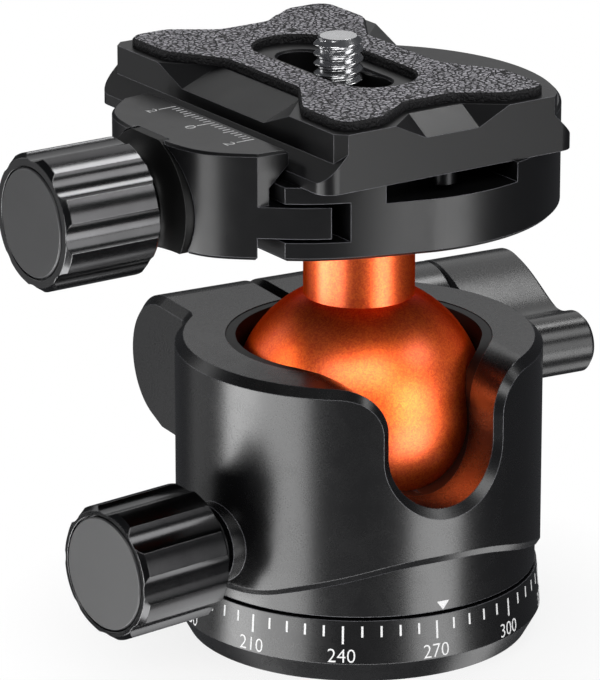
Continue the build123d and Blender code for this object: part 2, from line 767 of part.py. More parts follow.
with BuildPart() as clamp_jaw:
    with BuildSketch(clamp_level.offset(clamp_bottom)):
        add(clamp_outline.sketch)
        with Locations((jaw_shoulder_x, 0)):
            Rectangle(far, far, align=(Align.MIN, Align.CENTER), mode=Mode.SUBTRACT)
        with BuildLine():
            Polyline(
                (jaw_shoulder_x, jaw_shoulder_y),
                (jaw_tip_x, jaw_half_width),
                (jaw_tip_x, -jaw_half_width),
                (jaw_shoulder_x, -jaw_shoulder_y),
                close=True,
            )
        make_face()
    extrude(amount=jaw_top - clamp_bottom)
    chamfer(clamp_jaw.edges().group_by(Axis.Z)[-1], length=jaw_edge_chamfer)
    chamfer(clamp_jaw.edges().group_by(Axis.Z)[0], length=clamp_edge_chamfer)
    with BuildSketch(clamp_front):
        with BuildLine():
            Polyline(
                (jaw_shoulder_x, 0),
                (jaw_shoulder_x, tongue_top),
                (jaw_wall_x, tongue_top),
                (jaw_wall_x, jaw_wall_top),
                (jaw_tip_x, jaw_tip_bottom),
                (0, jaw_tip_bottom),
                (0, 0),
                close=True,
            )
        make_face()
    extrude(amount=outside, both=True, mode=Mode.SUBTRACT)
    # tongues that follow the body's outline
    with BuildSketch(clamp_level.offset(tongue_bottom)):
        add(clamp_outline.sketch)
        half_plane(jaw_shoulder_x)
        with Locations((tongue_end, 0)):
            Rectangle(far, far, align=(Align.MIN, Align.CENTER), mode=Mode.SUBTRACT)
        Rectangle(2 * outside, 2 * tongue_inner_side, mode=Mode.SUBTRACT)
    extrude(amount=tongue_top - tongue_bottom)
    # spot face for the knob, bores for the screw, pins and springs
    with BuildSketch(clamp_screw_axis.offset(-spot_face_x)):
        Circle(jaw_recess_radius)
    extrude(amount=outside, mode=Mode.SUBTRACT)
    with BuildSketch(clamp_screw_axis):
        Circle(clamp_hole_radius)
    extrude(amount=outside, mode=Mode.SUBTRACT)
    with BuildSketch(clamp_screw_axis):
        with Locations((0, guide_pin_spacing / 2), (0, -guide_pin_spacing / 2)):
            Circle(guide_pin_radius + fit_gap)
    extrude(amount=guide_pin_in_jaw + fit_gap - jaw_shoulder_x, mode=Mode.SUBTRACT)
    with BuildSketch(clamp_screw_axis):
        with Locations((0, guide_pin_spacing / 2), (0, -guide_pin_spacing / 2)):
            Circle(spring_pocket_radius)
    extrude(amount=spring_in_jaw + fit_gap - jaw_shoulder_x, mode=Mode.SUBTRACT)

with BuildPart() as jaw_guide_pins:
    with BuildSketch(clamp_screw_axis.offset(-guide_pin_end)):
        with Locations((0, guide_pin_spacing / 2), (0, -guide_pin_spacing / 2)):
            Circle(guide_pin_radius)
    extrude(amount=guide_pin_end - jaw_shoulder_x + guide_pin_in_jaw)

spring_length = spring_in_jaw + body_left_face - jaw_shoulder_x + spring_in_body
coil_length = spring_length - 2 * spring_wire_radius
with BuildPart() as jaw_springs:
    for side in (-1, 1):
        coil_start = clamp_frame * Vertex(
            body_left_face + spring_in_body - spring_wire_radius,
            side * guide_pin_spacing / 2,
            clamp_screw_height,
        )
        with BuildLine() as coil:
            Helix(
                pitch=coil_length / spring_turns,
                height=coil_length,
                radius=spring_radius,
                center=coil_start.center(),
                direction=clamp_screw_axis.z_dir,
            )
        with BuildSketch(Plane(origin=coil.line @ 0, z_dir=coil.line % 0)):
            RegularPolygon(spring_wire_radius, spring_wire_sides)
        sweep(path=coil.line, is_frenet=True)

with BuildPart() as clamp_screw:
    with BuildSketch(clamp_screw_axis.offset(-clamp_screw_end)):
        Circle(clamp_screw_radius)
    extrude(amount=clamp_knob_start + stud_in_knob + clamp_screw_end)

with BuildPart() as clamp_washer:
    with BuildSketch(clamp_screw_axis.offset(-spot_face_x + fit_gap)):
        Circle(clamp_washer_radius)
        Circle(clamp_hole_radius, mode=Mode.SUBTRACT)
    extrude(amount=clamp_washer_thickness)

clamp_boss_length = clamp_knob_start + spot_face_x - clamp_washer_thickness - 2 * fit_gap
clamp_knob = fluted_knob(
    clamp_screw_axis, clamp_knob_start, clamp_boss_length, clamp_cap_radius, clamp_hole_radius
)
clamp_knob_cap = knob_cap(clamp_screw_axis, clamp_knob_start, clamp_cap_radius)

# ---------------------------------------------------------------- quick-release plate
def edge_relief(reach, inwards, depth, floor_half, top_half):
    """A faceted wedge cut from the middle of one top edge, reach away from the plate's centre."""
    along_x, along_y = inwards
    edge = Plane(
        origin=(-along_x * reach, -along_y * reach, plate_thickness),
        x_dir=(along_x, along_y, 0),
        z_dir=(along_y, -along_x, 0),
    )
    edge = Plane(plate_level.location * edge.location)
    section = Polygon((0, 0), (0, -notch_height), (depth, 0), align=None)
    near, far = (edge.offset(offset) * section for offset in (-floor_half, floor_half))
    points = (Vertex(*(edge.origin + edge.z_dir * offset)) for offset in (-top_half, top_half))
    return loft([next(points), near.face(), far.face(), next(points)], ruled=True)


edge_reliefs = []
for side in (-1, 1):
    edge_reliefs += [
        edge_relief(plate_width / 2, (side, 0), side_notch_depth, side_notch_bottom, side_notch_top),
        edge_relief(plate_length / 2, (0, side), end_notch_depth, end_notch_bottom, end_notch_top),
    ]

with BuildPart() as quick_release_plate:
    with BuildSketch(plate_front):
        with BuildLine():
            Polyline(
                (-dovetail_width / 2, 0),
                (dovetail_width / 2, 0),
                (dovetail_width / 2, lip_height),
                (plate_width / 2, lip_height + plate_flare),
                (plate_width / 2, plate_thickness),
                (-plate_width / 2, plate_thickness),
                (-plate_width / 2, lip_height + plate_flare),
                (-dovetail_width / 2, lip_height),
                close=True,
            )
        make_face()
    extrude(amount=plate_length / 2, both=True)
    with BuildSketch(plate_level):
        RectangleRounded(dovetail_width, plate_length, plate_flare)
    extrude(amount=plate_thickness, mode=Mode.INTERSECT)
    chamfer(
        quick_release_plate.edges()
        .filter_by(Axis.Z)
        .filter_by(lambda edge: edge.length > lip_height + fit_gap),
        length=plate_corner_chamfer,
    )
    add(edge_reliefs, mode=Mode.SUBTRACT)
    # slot for the camera screw, with a pocket for its head below
    with BuildSketch(plate_level):
        SlotCenterToCenter(2 * plate_slot_half_length, 2 * plate_slot_radius, rotation=90)
    extrude(amount=plate_thickness, mode=Mode.SUBTRACT)
    top_face = quick_release_plate.faces().sort_by(Axis.Z)[-1]
    chamfer(top_face.inner_wires()[0].edges(), length=plate_slot_chamfer)
    with BuildSketch(plate_level):
        SlotCenterToCenter(2 * plate_slot_half_length, 2 * plate_slot_pocket_radius, rotation=90)
    extrude(amount=plate_slot_pocket_depth, mode=Mode.SUBTRACT)
    with BuildSketch(plate_level):
        with Locations((0, stop_screw_reach), (0, -stop_screw_reach)):
            Circle(stop_screw_shank_radius + fit_gap)
    extrude(amount=stop_screw_shank_length + fit_gap, mode=Mode.SUBTRACT)

with BuildPart() as plate_stop_screws:
    with BuildSketch(plate_level.offset(-stop_screw_drop)):
        with Locations((0, stop_screw_reach), (0, -stop_screw_reach)):
            Circle(stop_screw_radius)
    extrude(amount=stop_screw_drop)
    with BuildSketch(plate_level):
        with Locations((0, stop_screw_reach), (0, -stop_screw_reach)):
            Circle(stop_screw_shank_radius)
    extrude(amount=stop_screw_shank_length)

with BuildPart() as rubber_pad:
    with BuildSketch(plate_level.offset(plate_thickness)):
        quarter = [
            (pad_side_waist, pad_side_straight),
            (pad_half_width, pad_side_lobe),
            (pad_half_width, pad_half_length),
            (pad_end_lobe, pad_half_length),
            (pad_end_straight, pad_end_waist),
        ]
        half = quarter + [(-x, y) for x, y in reversed(quarter)]
        Polygon(*half, *((x, -y) for x, y in reversed(half)), align=None)
        fillet(
            vertices().filter_by(lambda v: abs(v.X) > pad_side_lobe - fit_gap and abs(v.Y) > pad_end_waist),
            radius=pad_corner_radius,
        )
        fillet(
            vertices().filter_by(
                lambda v: abs(v.X) < pad_end_lobe + fit_gap or abs(v.Y) < pad_side_lobe + fit_gap
            ),
            radius=pad_waist_radius,
        )
        SlotCenterToCenter(2 * pad_slot_half_length, 2 * pad_slot_radius, rotation=90, mode=Mode.SUBTRACT)
    extrude(amount=pad_thickness)
    chamfer(rubber_pad.edges().group_by(Axis.Z)[-1], length=pad_edge_chamfer)

# ---------------------------------------------------------------- camera screw
screw_level = on_clamp(
    Plane(origin=(plate_centre_x, plate_centre_y + camera_screw_offset, plate_bottom))
)
with BuildPart() as camera_screw:
    with BuildSketch(screw_level.offset(camera_head_top - camera_head_height)):
        Circle(camera_head_radius)
    extrude(amount=camera_head_height)
    with BuildSketch(screw_level.offset(camera_head_top)):
        Circle(camera_screw_neck_radius)
    extrude(amount=camera_thread_start - camera_head_top)
    with BuildSketch(screw_level.offset(camera_thread_start)):
        Circle(camera_screw_radius)
    extrude(amount=camera_screw_top - camera_thread_start)
    chamfer(camera_screw.edges().group_by(Axis.Z)[-1], length=camera_screw_tip_chamfer)
    with BuildSketch(screw_level.offset(camera_head_top - camera_head_height)):
        Rectangle(outside, coin_slot_width)
    extrude(amount=coin_slot_depth, mode=Mode.SUBTRACT)

with BuildPart() as screw_keeper:
    with BuildSketch(screw_level.offset(keeper_bottom)):
        Circle(keeper_radius)
        Circle(camera_screw_neck_radius + fit_gap, mode=Mode.SUBTRACT)
    extrude(amount=keeper_thickness)

# ---------------------------------------------------------------- files
pieces = {
    "pan_base": pan_base,
    "base_thread_insert": base_thread_insert,
    "pan_glide_washer": pan_glide_washer,
    "pan_spring_washer": pan_spring_washer,
    "pan_circlip": pan_circlip,
    "housing": housing,
    "ball_liner": ball_liner,
    "seat_wave_spring": seat_wave_spring,
    "ball_seat_ring": ball_seat_ring,
    "ball": ball,
    "stem_thrust_ball": stem_thrust_ball,
    "stem_screw": stem_screw,
    "main_lock_screw": main_lock_screw,
    "lever_washer": lever_washer,
    "main_lock_lever": main_lock_lever,
    "lever_cap_screw": lever_cap_screw,
    "pan_brake_plug": pan_brake_plug,
    "pan_lock_stud": pan_lock_stud,
    "pan_lock_knob": pan_lock_knob,
    "pan_lock_knob_cap": pan_lock_knob_cap,
    "clamp_body": clamp_body,
    "clamp_jaw": clamp_jaw,
    "jaw_guide_pins": jaw_guide_pins,
    "jaw_springs": jaw_springs,
    "clamp_screw": clamp_screw,
    "clamp_washer": clamp_washer,
    "clamp_knob": clamp_knob,
    "clamp_knob_cap": clamp_knob_cap,
    "quick_release_plate": quick_release_plate,
    "plate_stop_screws": plate_stop_screws,
    "rubber_pad": rubber_pad,
    "camera_screw": camera_screw,
    "screw_keeper": screw_keeper,
}

os.makedirs("parts", exist_ok=True)
for name, piece in pieces.items():
    piece.part.label = name
    export_step(piece.part, f"parts/{name}.step")
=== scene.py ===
"""Tripod ball head: finishes, ball liner, clamp collar, printed scales, screw threads, and its studio."""

import math

import bpy
import numpy as np
from mathutils import Matrix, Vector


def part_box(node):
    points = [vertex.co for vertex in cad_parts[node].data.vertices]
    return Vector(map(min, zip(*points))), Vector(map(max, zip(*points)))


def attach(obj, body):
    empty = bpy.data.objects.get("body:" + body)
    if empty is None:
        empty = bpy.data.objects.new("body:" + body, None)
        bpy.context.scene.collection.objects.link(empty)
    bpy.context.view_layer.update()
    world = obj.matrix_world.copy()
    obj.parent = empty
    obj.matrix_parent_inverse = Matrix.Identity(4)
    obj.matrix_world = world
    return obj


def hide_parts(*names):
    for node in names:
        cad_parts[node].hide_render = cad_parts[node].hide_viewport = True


bl_info = {
    "name": "Tripod Ball Head",
    "version": (1, 0, 0),
    "blender": (4, 5, 0),
    "location": "3D View > Sidebar > Ball Head",
    "description": "Finishes, liner, collar, scales and screw threads of a tripod ball head, and its studio",
    "category": "Object",
}

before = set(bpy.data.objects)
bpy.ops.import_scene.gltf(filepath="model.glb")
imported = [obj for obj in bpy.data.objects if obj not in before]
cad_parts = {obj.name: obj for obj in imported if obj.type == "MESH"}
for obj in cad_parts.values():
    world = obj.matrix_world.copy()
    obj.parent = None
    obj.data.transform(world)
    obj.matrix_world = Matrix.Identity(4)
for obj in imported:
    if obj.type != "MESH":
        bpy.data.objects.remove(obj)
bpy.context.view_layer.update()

MM = 0.001
CLAMP_TURN = math.radians(5.5)          # the clamp group is turned this far about Z
BASE_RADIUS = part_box("pan_base")[1].x   # widest edge of the pan base
BASE_EDGE = 0.0029                      # height of that edge
BASE_TAPER = 0.0005                     # how much narrower the base is at its top
BASE_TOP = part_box("pan_glide_washer")[0].z
SKIRT_RADIUS = 0.02305                  # the housing's skirt, which carries the index mark
SCREW_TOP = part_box("camera_screw")[1].z
SCREW_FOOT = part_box("camera_screw")[0].z
SCREW_HEAD_RADIUS = (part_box("camera_screw")[1].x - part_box("camera_screw")[0].x) / 2
SCREW_CENTRE = (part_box("camera_screw")[0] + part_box("camera_screw")[1]) / 2
JAW_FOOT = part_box("clamp_jaw")[0].z
JAW_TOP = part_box("clamp_jaw")[1].z
BALL_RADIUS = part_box("ball")[1].x
BALL_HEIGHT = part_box("ball")[0].z + BALL_RADIUS
BUSH_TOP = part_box("base_thread_insert")[1].z
OVERLAP = 0.0002                        # how deep the parts of one screw reach into each other
THREAD_COLUMNS = 72                     # points round a thread
SHARP = math.radians(38)                # a smooth piece keeps the edges that bend by more than this
BOTH_SIDES = np.array([-1.0, 1.0])      # a print's inner and outer side, from its middle in depths
BOTH_EDGES = np.array([-0.5, 0.5])      # a tick's two long edges, from its middle in widths


# ---------------------------------------------------------------- the studio's places and lights
CAMERA_AIM = (-0.002401, 0.011455, 0.03534)
LIGHT_AIM = (0.0, 0.0, 0.04)
LIGHT_DISTANCE = 0.7
BALL_LIGHT = (1.0, 0.74, 0.34)          # the lights named ball_... light the ball alone, and are warm
# name; side (from the camera's) and rise of its middle, and its width and height, in degrees; radiance
LIGHTS = (
    ("left_low_key", -61, -20, 64, 25, 4.6),
    ("left_low_accent", -78, -20, 26, 25, 2.4),
    ("left_low_edge", -116, -20, 24, 25, 0.35),
    ("right_low_key", 49, -20, 34, 25, 4.7),
    ("right_key", 56, 8, 32, 26, 2.2),
    ("under_left", -68, -50, 60, 22, 5.6),
    ("under_front", 4, -50, 84, 22, 5.0),
    ("under_right", 112, -50, 44, 22, 2.0),
    ("high_front", -4, 44, 84, 22, 3.0),
    ("high_right", 78, 42, 30, 20, 3.2),
    ("back_right", 138, 62, 30, 14, 8.5),
    ("left_side", -118, 16, 22, 36, 1.1),
    ("back_wall", 180, 36, 56, 38, 0.8),
    ("ball_key", 45, 11, 26, 34, 6.2),
    ("ball_left", -80, 28, 40, 30, 3.6),
    ("ball_top", 10, 42, 70, 26, 3.2),
    ("ball_right", 118, 12, 44, 30, 0.4),
)


# ---------------------------------------------------------------- sizes and colours
def length(name, description, default):
    """A length that a user can change, in metres."""
    return bpy.props.FloatProperty(
        name=name, description=description, default=default, min=0.0, unit="LENGTH", subtype="DISTANCE"
    )


def colour(name, description, default):
    """A colour that a user can change."""
    return bpy.props.FloatVectorProperty(
        name=name, description=description, default=default, size=3, min=0.0, max=1.0, subtype="COLOR"
    )


def share(name, description, default):
    """A number from 0 to 1 that a user can change."""
    return bpy.props.FloatProperty(
        name=name, description=description, default=default, min=0.0, max=1.0, subtype="FACTOR"
    )


def angle(name, description, default):
    """An angle that a user can change, in radians."""
    return bpy.props.FloatProperty(
        name=name, description=description, default=default, unit="ROTATION", subtype="ANGLE"
    )


class BALLHEAD_PG_finish(bpy.types.PropertyGroup):
    """Colours and wear of the finishes."""

    anodised: colour("Anodised black", "Colour of the black anodised metal", (0.0045, 0.0045, 0.005))
    cap: colour("Knob cap", "Colour of the discs in the knobs", (0.03, 0.03, 0.031))
    ball: colour("Ball", "Colour of the ball and its neck", (1.0, 0.115, 0.009))
    # painted light: the colour of the lit crests on the pad's top; the rest of the pad gets a painted shade
    # made from it
    pad: colour("Pad", "Colour of the rubber pad's grain", (0.88, 0.86, 0.92))
    ink: colour("Print", "Colour of the printed scales", (0.86, 0.86, 0.86))
    # the edges are lightened for wear and as a painted highlight line
    edge_wear: share("Edge wear and highlight", "How light the edges of the black metal have become", 0.9)


class BALLHEAD_PG_scales(bpy.types.PropertyGroup):
    """Sizes of the printed scales."""

    step: angle("Step", "Angle between two ticks of the pan scale", math.radians(6))
    zero: angle("Zero", "Azimuth of the pan scale's zero", math.radians(-3.75))
    tick_width: length("Tick width", "Width of a tick of the pan scale", 0.00027)
    tick_top: length("Tick top", "Height of the ticks' upper ends", 0.0079)
    short_tick: length("Short tick", "Length of a short tick", 0.00145)
    long_tick: length("Long tick", "Length of a tick that carries a number", 0.00235)
    number_height: length("Number height", "Height of the pan scale's numbers", 0.00178)
    number_foot: length("Number foot", "Height of the numbers' base line", 0.0031)
    number_shift: angle("Number shift", "How far the numbers stand back from their ticks", math.radians(0.4))
    digit_shape: share("Digit shape", "Width of a digit with its gap, as a share of its height", 0.66)
    ink_depth: length("Ink depth", "How far the print stands proud", 0.000025)
    mark_azimuth: angle("Mark azimuth", "Azimuth of the index mark", math.radians(268.8))
    mark_foot: length("Mark foot", "Height of the index mark's tip", 0.0091)
    mark_width: length("Mark width", "Width of the index mark", 0.00176)
    mark_height: length("Mark height", "Height of the index mark", 0.00118)


class BALLHEAD_PG_jaw_scale(bpy.types.PropertyGroup):
    """Sizes of the short scale on the jaw."""

    step: length("Step", "Distance between two ticks", 0.00089)
    forward: length("Forward", "How far in front of the axis its middle is", 0.0006)
    near_end: length("Near end", "Distance of the ticks' inner ends from the axis", 0.0224)
    short_tick: length("Short tick", "Length of a short tick", 0.0011)
    middle_tick: length("Middle tick", "Length of every fifth tick", 0.0016)
    long_tick: length("Long tick", "Length of a tick that carries a number", 0.00255)
    tick_width: length("Tick width", "Width of a tick", 0.0002)
    number_height: length("Number height", "Height of a number", 0.0014)
    number_width: length("Number width", "Width of a number", 0.00118)
    number_foot: length("Number foot", "Distance of the numbers' base line from the axis", 0.02665)


class BALLHEAD_PG_liner(bpy.types.PropertyGroup):
    """Sizes of the ball's plastic liner."""

    seat: length("Seat", "Radius of the round seat for the ball", 0.0165)
    lip: length("Lip", "Radius of the lip's opening at its top", 0.0159)
    lip_depth: length("Lip depth", "How deep the lip's cone reaches", 0.0027)
    lip_slope: angle("Lip slope", "Angle between the lip's cone and the upright", math.radians(13))
    notch: length("Notch", "Half-width of the drop notch", 0.00775)
    mouth: length("Mouth", "Radius of the flare at the notch's mouth", 0.006)


class BALLHEAD_PG_collar(bpy.types.PropertyGroup):
    """Sizes of the collar under the clamp knob, a washer whose dark flare stands in for the shade in the
    jaw's recess.
    """

    washer: length("Washer", "Thickness of the flat part under the knob's boss", 0.0009)
    hole: length("Hole", "Radius of the hole for the screw", 0.00305)
    bore: length("Bore", "Radius of the bore round the knob's boss", 0.0055)
    foot: length("Foot", "Radius where it fills the recess", 0.0092)
    rim: length("Rim", "Height of the foot's upright rim", 0.0013)
    neck: length("Neck", "Radius of its free end", 0.0057)
    reach: length("Reach", "Height of its free end", 0.0027)
    sunk: length("Sunk", "How far its foot stays under the jaw's top", 0.00002)


class BALLHEAD_PG_threads(bpy.types.PropertyGroup):
    """Sizes of the camera screw and of the tripod bush's thread."""

    camera_radius: length("Camera thread radius", "Half of a quarter of an inch", 0.003175)
    camera_pitch: length("Camera thread pitch", "20 turns to the inch", 0.00127)
    camera_depth: length("Camera thread depth", "From crest to root", 0.00062)
    camera_foot: length("Camera thread foot", "Height where the thread begins", 0.0733)
    camera_tip: length("Camera thread tip", "How much the tip's cone takes off its radius", 0.0008)
    neck: length("Neck", "Radius of the camera screw's neck", 0.0026)
    head: length("Head", "Thickness of the camera screw's head", 0.002)
    head_edge: length("Head edge", "Chamfer of the head's upper edge", 0.0003)
    slot_depth: length("Slot depth", "Depth of the coin slot", 0.0012)
    slot_width: length("Slot width", "Width of the coin slot", 0.0016)
    tripod_radius: length("Tripod thread radius", "Half of three eighths of an inch", 0.0047625)
    tripod_pitch: length("Tripod thread pitch", "16 turns to the inch", 0.0015875)
    tripod_depth: length("Tripod thread depth", "From crest to root", 0.00078)
    tripod_back: length("Tripod thread back", "Radius of its hidden side, inside the bush", 0.0048)


class BALLHEAD_PG_studio(bpy.types.PropertyGroup):
    """The camera's place and the strength of the lights."""

    azimuth: angle("Camera azimuth", "Direction from the object to the camera, from +X", math.radians(241.5))
    elevation: angle("Camera elevation", "Angle of the camera above the horizon", math.radians(18.45))
    distance: length("Camera distance", "From the point that the camera aims at", 0.68875)
    lens: bpy.props.FloatProperty(name="Lens", description="Focal length in millimetres", default=279.05)
    light: bpy.props.FloatProperty(name="Light", description="Strength of all lights", default=1.0, min=0.0)


GROUPS = {
    "ballhead_finish": BALLHEAD_PG_finish,
    "ballhead_scales": BALLHEAD_PG_scales,
    "ballhead_jaw_scale": BALLHEAD_PG_jaw_scale,
    "ballhead_liner": BALLHEAD_PG_liner,
    "ballhead_collar": BALLHEAD_PG_collar,
    "ballhead_threads": BALLHEAD_PG_threads,
    "ballhead_studio": BALLHEAD_PG_studio,
}


# ---------------------------------------------------------------- surfaces
def on_clamp(points):
    """Turns points about Z by the clamp's angle: x cos - y sin, x sin + y cos."""
    c, s = math.cos(CLAMP_TURN), math.sin(CLAMP_TURN)
    turned = points.copy()
    turned[..., 0] = points[..., 0] * c - points[..., 1] * s
    turned[..., 1] = points[..., 0] * s + points[..., 1] * c
    return turned


def round_skin(radius, height):
    """A closed skin about Z from radius(row, column) and height(row, column).

    A point is (r cos t, r sin t, z) with t = 2 pi column / columns. The first and last rows are
    closed by a fan to a point on the axis, and rows run upwards, so the faces point outwards.
    """
    rows, columns = radius.shape
    turn = 2 * np.pi * np.arange(columns) / columns
    points = np.stack([radius * np.cos(turn), radius * np.sin(turn), height], axis=-1).reshape(-1, 3)
    ends = np.array([[0, 0, height[0].mean()], [0, 0, height[-1].mean()]])
    index = np.arange(rows * columns).reshape(rows, columns)
    ahead = np.roll(index, -1, axis=1)
    quads = np.stack([index[:-1], ahead[:-1], ahead[1:], index[1:]], axis=-1).reshape(-1, 4)
    low, high = rows * columns, rows * columns + 1
    foot = np.stack([ahead[0], index[0], np.full(columns, low)], axis=-1)
    head = np.stack([index[-1], ahead[-1], np.full(columns, high)], axis=-1)
    return np.vstack([points, ends]), [*quads.tolist(), *foot.tolist(), *head.tolist()]


def lathed(profile, columns):
    """A closed skin about Z through (radius, height) pairs, the lowest first."""
    radius, height = np.array(profile).T[:, :, None] + np.zeros((len(profile), columns))
    return round_skin(radius, height)


def thread_wave(phase):
    """Depth of a thread from 0 at its crest to 1 at its root: a triangle wave with its ends cut flat."""
    from_root = np.abs(2 * (phase % 1) - 1)
    return np.clip(1.2 * (1 - from_root) - 0.1, 0, 1)


def threaded_rod(radius, pitch, depth, low, high, tip):
    """A rod along Z whose radius is radius - depth * wave(z / pitch - t / 2 pi), coned at its tip.

    The cone keeps the radius under (radius - tip) + (high - z).
    """
    rows_per_turn = 18
    rows = int((high - low) / pitch * rows_per_turn) + 1
    z = np.linspace(low, high, rows)[:, None]
    turn = np.arange(THREAD_COLUMNS)[None, :] / THREAD_COLUMNS
    r = radius - depth * thread_wave(z / pitch - turn)
    r = np.minimum(r, radius - tip + high - z)
    return round_skin(r, z + 0 * r)


def tube(sections, closed):
    """A closed skin through equal closed loops of points (section, point, xyz).

    A loop runs up its outer side and down its inner side. A tube that isn't closed on itself gets
    its two ends filled by quads from each point of a loop to the one that faces it.
    """
    count, loop = sections.shape[:2]
    index = np.arange(count * loop).reshape(count, loop)
    onward = np.roll(index, -1, axis=0) if closed else index[1:]
    here = index if closed else index[:-1]
    faces = np.stack([here, onward, np.roll(onward, -1, axis=1), np.roll(here, -1, axis=1)], axis=-1)
    faces = faces.reshape(-1, 4).tolist()
    if not closed:
        outer, inner = index[:, : loop // 2], index[:, : loop // 2 - 1 : -1]
        for end, turn in ((0, 1), (-1, -1)):
            quads = np.stack([inner[end, :-1], outer[end, :-1], outer[end, 1:], inner[end, 1:]], axis=-1)
            faces += quads[:, ::turn].tolist()
    return sections.reshape(-1, 3), faces


def boxes(corners):
    """Closed boxes from corners (box, inner or outer, low or high, left or right, xyz)."""
    count = len(corners)
    faces = np.array([[4, 5, 7, 6], [0, 2, 3, 1], [0, 1, 5, 4], [2, 6, 7, 3], [0, 4, 6, 2], [1, 3, 7, 5]])
    index = faces[None] + 8 * np.arange(count)[:, None, None]
    return corners.reshape(-1, 3), index.reshape(-1, 4).tolist()


def joined(parts):
    """Several (points, faces) as one."""
    points, faces, start = [], [], 0
    for part_points, part_faces in parts:
        points.append(part_points)
        faces += [[i + start for i in face] for face in part_faces]
        start += len(part_points)
    return np.vstack(points), faces


def number(text, height, width, depth):
    """Closed solid letters, standing on y 0 and centred on x 0, scaled to a height and a width.

    The curve's flat letters are thinned a little, given a depth, made a mesh, and read as arrays.
    """
    letters = bpy.data.curves.new("letters", "FONT")
    letters.body = text
    letters.align_x = "CENTER"
    letters.extrude = 0.02
    letters.offset = -0.009
    letters.resolution_u = 3
    carrier = bpy.data.objects.new("letters", letters)
    bpy.context.scene.collection.objects.link(carrier)
    solid = carrier.evaluated_get(bpy.context.evaluated_depsgraph_get())
    mesh = bpy.data.meshes.new_from_object(solid)
    points = np.empty(3 * len(mesh.vertices))
    mesh.vertices.foreach_get("co", points)
    points = points.reshape(-1, 3)
    faces = [list(face.vertices) for face in mesh.polygons]
    bpy.data.objects.remove(carrier)
    bpy.data.curves.remove(letters)
    bpy.data.meshes.remove(mesh)
    low, high = points.min(axis=0), points.max(axis=0)
    middle = (low + high) / 2
    scale = np.array([width, height, 2 * depth]) / (high - low)
    points = (points - [middle[0], low[1], 0]) * scale
    return points, faces


def around(points, azimuth, foot, radius):
    """Wraps flat points round Z: x along the arc, y up from foot, z outwards from radius(height)."""
    height = foot + points[:, 1]
    reach = radius(height) + points[:, 2]
    turn = azimuth + points[:, 0] / radius(height)
    return np.stack([reach * np.cos(turn), reach * np.sin(turn), height], axis=-1)


def flank_radius(height):
    """The pan base's cone: its radius falls evenly from its widest edge to its top."""
    return BASE_RADIUS - BASE_TAPER * (height - BASE_EDGE) / (BASE_TOP - BASE_EDGE)


def piece(name, shape, body, finish, smooth=False):
    """A mesh object from (points, faces) that rides on a body and wears a finish."""
    points, faces = shape
    mesh = bpy.data.meshes.new(name)
    mesh.from_pydata(points.tolist(), [], faces)
    if smooth:
        mesh.polygons.foreach_set("use_smooth", [True] * len(mesh.polygons))
        mesh.set_sharp_from_angle(angle=SHARP)
    mesh.update()
    made = bpy.data.objects.new(name, mesh)
    bpy.context.scene.collection.objects.link(made)
    made.data.materials.append(bpy.data.materials[finish])
    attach(made, body)
    return made


# ---------------------------------------------------------------- shader effects
def effect(name, inputs, outputs):
    """An empty shader node group with named sockets, and its two end nodes."""
    tree = bpy.data.node_groups.new(name, "ShaderNodeTree")
    for label, kind, default in inputs:
        socket = tree.interface.new_socket(label, in_out="INPUT", socket_type=kind)
        if default is not None:
            socket.default_value = default
    for label, kind in outputs:
        tree.interface.new_socket(label, in_out="OUTPUT", socket_type=kind)
    return tree, tree.nodes.new("NodeGroupInput"), tree.nodes.new("NodeGroupOutput")


def add(tree, kind, links=(), **settings):
    """A node with its settings, values by socket name or number, and links into it."""
    made = tree.nodes.new(kind)
    for key, value in settings.items():
        setattr(made, key, value)
    for socket, source in dict(links).items():
        if isinstance(source, bpy.types.NodeSocket):
            tree.links.new(source, made.inputs[socket])
        else:
            made.inputs[socket].default_value = source
    return made


def maths(tree, operation, *values):
    """The result of a Math node."""
    return add(tree, "ShaderNodeMath", dict(enumerate(values)), operation=operation).outputs[0]


def remap(tree, value, low, high, to_low, to_high):
    """A value moved from one range to another, and kept inside it."""
    links = {"Value": value, "From Min": low, "From Max": high, "To Min": to_low, "To Max": to_high}
    return add(tree, "ShaderNodeMapRange", links).outputs["Result"]


def noise(tree, where, scale, detail, roughness, **more):
    """The grey value of a Noise texture."""
    links = {"Vector": where, "Scale": scale, "Detail": detail, "Roughness": roughness, **more}
    return add(tree, "ShaderNodeTexNoise", links).outputs["Fac"]


